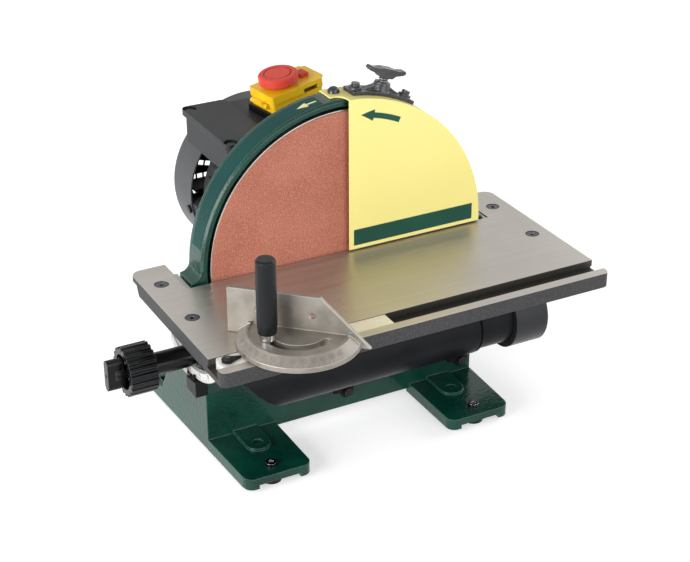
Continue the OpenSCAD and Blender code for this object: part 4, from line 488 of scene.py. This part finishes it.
mitreScale = {"from": -60.0, "to": 60.0, "step": 5.0, "labelStep": 10.0, "low": 0.9, "short": 2.2,
              "long": 3.2, "gap": 1.0, "figure": 4.0, "radius": 56.0, "outR": 60.5, "inR": 51.0,
              "outZ": 5.0, "inZ": 13.0, "width": 0.45, "zeroTurn": 270.0}


def onBevel(u, v, lift):
    # the sloped ring of the protractor: u runs round it, v climbs inward, lift leaves it along the slope's
    # normal
    inward, rise = mitreScale["outR"] - mitreScale["inR"], mitreScale["inZ"] - mitreScale["outZ"]
    slope = math.hypot(inward, rise)
    radius = mitreScale["outR"] - inward * v / slope + lift * rise / slope
    height = mitreScale["outZ"] + rise * v / slope + lift * inward / slope
    angle = math.radians(mitreScale["zeroTurn"] - machine["fenceTurn"]) + u / mitreScale["radius"]
    return np.stack([machine["mitreX"] + radius * np.cos(angle), machine["mitreY"] + radius * np.sin(angle),
                     machine["headZ"] + height], -1)


newPiece("mitreScale", *strokeBars(scaleStrokes(mitreScale), mitreScale["width"], onBevel), "markGrey",
         "gauge_head", "gauge_alloy")

tiltScale = {"from": -5.0, "to": 55.0, "step": 5.0, "labelStep": 15.0, "low": 1.0, "short": 2.0,
             "long": 3.2, "gap": 0.7, "figure": 3.4, "radius": 96.0, "outR": 100.8, "width": 0.4}


def onArc(u, v, lift):
    # the flat tilt scale on the left trunnion: u runs forward round the table's hinge line, v climbs
    # towards it
    angle = u / tiltScale["radius"]
    radius = tiltScale["outR"] - v
    return np.stack([np.full_like(u, machine["scaleX"]) - lift, -radius * np.sin(angle),
                     machine["tableTop"] - radius * np.cos(angle)], -1)


newPiece("tiltScale", *strokeBars(scaleStrokes(tiltScale), tiltScale["width"], onArc), "inkBlack", "table",
         "scale_sheet")

# the head's profile is given in shares of its radius and its rise
pointerScrew = dict(x=-204.3, y=-155.8, z=210.0, radius=4.4, rise=1.7, cross=4.6, width=1.0, turn=25.0,
                    sides=24, out=(0.02, 0.45, 0.75, 0.93, 1.0, 1.0, 0.02),
                    up=(1.0, 0.98, 0.85, 0.6, 0.25, -0.2, -0.2))


def screwDome(sizes):
    # a pan head: its profile from the middle of the top down to a foot inside the pointer, turned about
    # its axis
    around = turns(sizes["sides"])
    radius = sizes["radius"] * np.array(sizes["out"])[:, None]
    height = sizes["rise"] * np.array(sizes["up"])[:, None] + 0 * around
    points = np.stack([sizes["x"] + radius * np.cos(around), sizes["y"] + radius * np.sin(around),
                       sizes["z"] + height], -1)
    return points.reshape(-1, 3), tubeFaces(points.shape[:2], False)


def onHead(u, v, lift):
    # the flat of the pan head, turned a little about its axis
    turn = math.radians(pointerScrew["turn"])
    return np.stack([pointerScrew["x"] + u * math.cos(turn) - v * math.sin(turn),
                     pointerScrew["y"] + u * math.sin(turn) + v * math.cos(turn),
                     np.full_like(u, pointerScrew["z"] + pointerScrew["rise"]) + lift], -1)


newPiece("pointerScrew", *screwDome(pointerScrew), "darkScrew", "gauge_bar", "dark_steel")
# a pale cross on the pan head: a painted highlight of the light caught by its cross recess
arm = pointerScrew["cross"] / 2
cross = np.array([[(-arm, 0), (arm, 0)], [(0, -arm), (0, arm)]], float)
newPiece("pointerCrossHighlight", *strokeBars(cross, pointerScrew["width"], onHead), "markGrey", "gauge_bar",
         "dark_steel")

# a near-black band round the outlet where the duct ends at the tube: painted shade of the groove between
# them
grooveShade = dict(left=142.2, right=145.4, y=-22.0, z=94.6, outer=35.65, inner=35.0, sides=96)


def sealRing(sizes):
    # a flat band carried round the outlet's axis: a rectangle of length times thickness, turned once
    around = turns(sizes["sides"])[:, None]
    run = np.array([sizes["left"], sizes["left"], sizes["right"], sizes["right"]]) + 0 * around
    radius = np.array([sizes["inner"], sizes["outer"], sizes["outer"], sizes["inner"]])
    points = np.stack([run, sizes["y"] + radius * np.cos(around), sizes["z"] + radius * np.sin(around)], -1)
    return points.reshape(-1, 3), tubeFaces(points.shape[:2], True)


newPiece("grooveShade", *sealRing(grooveShade), "sealBlack", "stand", "foot_rubber")

cowlGuard = dict(first=41.0, last=83.0, rings=6, wire=2.2, y=239.0, turns=72, sides=8)


def guardRings(sizes):
    # rings of round wire about the motor's axis, one for each radius, against the inside of the cowl's end
    radius = np.linspace(sizes["first"], sizes["last"], sizes["rings"])[:, None, None]
    turn = turns(sizes["turns"])[:, None]
    around = turns(sizes["sides"])
    reach = radius + sizes["wire"] / 2 * np.cos(around) + 0 * turn
    points = np.stack([reach * np.sin(turn), sizes["y"] + sizes["wire"] / 2 * np.sin(around) + 0 * reach,
                       machine["axisZ"] + reach * np.cos(turn)], -1)
    return points.reshape(-1, 3), tubeFaces(points.shape[:3], True)


newPiece("cowlGuard", *guardRings(cowlGuard), "finBlack", "stand", "motor_black")
print("scales and small pieces made")

brakeSpring = dict(turn=17.9, turns=5, wire=1.1, travel=4.5, rings=28, sides=10)


def springSeat(sizes):
    # the middle line, both ends and the outer radius of the spring's solid, measured along and across its
    # lean
    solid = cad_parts["brake_spring"].data
    spots = np.empty(len(solid.vertices) * 3)
    solid.vertices.foreach_get("co", spots)
    spots = fromFrame(spots.reshape(-1, 3))
    lean = math.radians(sizes["turn"])
    axis = np.array([math.sin(lean), 0.0, math.cos(lean)])
    side = np.array([math.cos(lean), 0.0, -math.sin(lean)])
    deep = np.array([0.0, 1.0, 0.0])
    foot = np.array([0.0, (spots[:, 1].min() + spots[:, 1].max()) / 2, machine["axisZ"]])
    climb = (spots - foot) @ axis
    reach = np.hypot((spots - foot) @ side, (spots - foot) @ deep).max()
    return dict(axis=axis, side=side, deep=deep, foot=foot, low=climb.min(), high=climb.max(), reach=reach)


def springCoil(sizes, seat):
    # a round wire carried along a helix, half its thickness inside the seat's ends and radius
    half = sizes["wire"] / 2
    count = sizes["rings"] * sizes["turns"] + 1
    turn = np.linspace(0, fullTurn * sizes["turns"], count)[:, None, None]
    rise = np.linspace(seat["low"] + half, seat["high"] - half, count)[:, None, None]
    around = turns(sizes["sides"])[:, None]
    outward = seat["side"] * np.cos(turn) + seat["deep"] * np.sin(turn)
    reach = seat["reach"] - half + half * np.cos(around)
    points = seat["foot"] + seat["axis"] * (rise + half * np.sin(around)) + outward * reach
    return points.reshape(-1, 3), tubeFaces(points.shape[:2], False)


seat = springSeat(brakeSpring)
coil = newPiece("coilSpring", *springCoil(brakeSpring, seat), "brightSteel", "stand", "bright_steel")
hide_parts("brake_spring")
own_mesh(coil)


def addTurned(name, data, side, up, back, place):
    # an object whose own axes are three directions, at a place in the frame
    matrix = np.eye(4)
    matrix[:3] = np.stack([side, up, back, place], -1)
    holder = bpy.data.objects.new(name, data)
    holder.matrix_world = Matrix(matrix.tolist())
    bpy.context.scene.collection.objects.link(holder)
    return holder


# place in sander millimetres, turns in degrees, sensor in millimetres, farthest sight in metres
view = dict(x=-727.59, y=-1387.49, z=982.78, yaw=27.758, pitch=-27.392, roll=-0.255, focalPixels=1638.98,
            width=690, sensor=36.0, farthest=50.0)


def setCamera(view):
    # forward from yaw and pitch, right and up turned by the roll; the lens is the sensor times the focal
    # length in pixels over the picture's width
    yaw, pitch, roll = (math.radians(view[key]) for key in ("yaw", "pitch", "roll"))
    forward = np.array([math.sin(yaw) * math.cos(pitch), math.cos(yaw) * math.cos(pitch), math.sin(pitch)])
    right = np.array([math.cos(yaw), -math.sin(yaw), 0.0])
    up = np.cross(right, forward)
    right, up = right * math.cos(roll) + up * math.sin(roll), up * math.cos(roll) - right * math.sin(roll)
    camera = bpy.data.cameras.new("viewCamera")
    camera.sensor_fit = "HORIZONTAL"
    camera.sensor_width = view["sensor"]
    camera.lens = view["sensor"] * view["focalPixels"] / view["width"]
    camera.clip_end = view["farthest"]
    place = toFrame([view["x"], view["y"], view["z"]])
    bpy.context.scene.camera = addTurned("viewCamera", camera, right, up, -forward, place)


def areaLamp(name, lamp):
    # a square soft light that faces its target, seen in gloss or not
    light = bpy.data.lights.new(name, "AREA")
    light.size = lamp["size"]
    light.energy = lamp["power"]
    back = np.array(lamp["place"]) - np.array(lamp["target"])
    back /= np.linalg.norm(back)
    side = np.cross([0.0, 0.0, 1.0], back)
    side /= np.linalg.norm(side)
    holder = addTurned(name, light, side, np.cross(back, side), back, lamp["place"])
    holder.visible_glossy = lamp["mirrored"]


def seenRays(tree):
    # one for rays that the picture shows: from the camera, in gloss or through something clear
    path = tree.nodes.new("ShaderNodeLightPath").outputs
    seen = addNode(tree, "Math", {0: path["Is Camera Ray"], 1: path["Is Glossy Ray"]}, operation="MAXIMUM")
    seen = addNode(tree, "Math", {0: seen.outputs[0], 1: path["Is Transmission Ray"]}, operation="MAXIMUM")
    return seen.outputs[0]


def setWorld(stage):
    # a world that is white where it is seen and a weak even light elsewhere
    world = bpy.data.worlds.new("studio")
    tree = clearTree(world)
    out = tree.nodes.new("ShaderNodeOutputWorld")
    weak = addNode(tree, "Background", Color=white, Strength=stage["worldPower"])
    full = addNode(tree, "Background", Color=white, Strength=stage["backdrop"])
    mix = addNode(tree, "MixShader", {0: seenRays(tree), 1: weak.outputs[0], 2: full.outputs[0]})
    tree.links.new(mix.outputs[0], out.inputs["Surface"])
    bpy.context.scene.world = world


def setFloor(stage):
    # a wide pale floor with a glow where it is seen, stronger with the distance from the middle
    half = stage["floorHalf"]
    mesh = bpy.data.meshes.new("studioFloor")
    mesh.from_pydata([(-half, -half, 0), (half, -half, 0), (half, half, 0), (-half, half, 0)], [],
                     [(0, 1, 2, 3)])
    material = bpy.data.materials.new("studioFloor")
    tree = clearTree(material)
    out = tree.nodes.new("ShaderNodeOutputMaterial")
    diffuse = addNode(tree, "BsdfDiffuse", Color=(stage["floorTone"],) * 3 + (1,))
    place = tree.nodes.new("ShaderNodeTexCoord").outputs["Object"]
    away = addNode(tree, "VectorMath", {0: place}, operation="LENGTH").outputs["Value"]
    power = spread(tree, away, stage["floorGlow"], stage["farGlow"], stage["glowFrom"], stage["glowTo"])
    glow = addNode(tree, "Emission", {"Strength": power}, Color=white)
    both = addNode(tree, "AddShader", {0: diffuse.outputs[0], 1: glow.outputs[0]})
    mix = addNode(tree, "MixShader", {0: seenRays(tree), 1: diffuse.outputs[0], 2: both.outputs[0]})
    tree.links.new(mix.outputs[0], out.inputs["Surface"])
    mesh.materials.append(material)
    floor = bpy.data.objects.new("studioFloor", mesh)
    bpy.context.scene.collection.objects.link(floor)


stage = dict(worldPower=0.2, backdrop=1.0, floorHalf=12.0, floorTone=0.8, floorGlow=0.5, farGlow=0.86,
             glowFrom=0.5, glowTo=3.0)
lamps = {  # metres in the shared frame and watts
    "leftLamp": dict(place=(-2.3, -0.8, 0.75), power=74.0),
    "frontLamp": dict(place=(0.5, -2.5, 1.0), power=27.0),
    "rightLamp": dict(place=(2.3, -0.3, 1.0), power=26.0),
    "backLamp": dict(place=(-1.0, 2.3, 1.2), power=34.0, mirrored=False),
}
plainLamp = dict(target=(0.0, 0.0, 0.2), size=1.7, mirrored=True)
bpy.context.scene.view_settings.view_transform = "Standard"
setCamera(view)
setWorld(stage)
setFloor(stage)
for name, lamp in lamps.items():
    areaLamp(name, {**plainLamp, **lamp})
print("stage set")
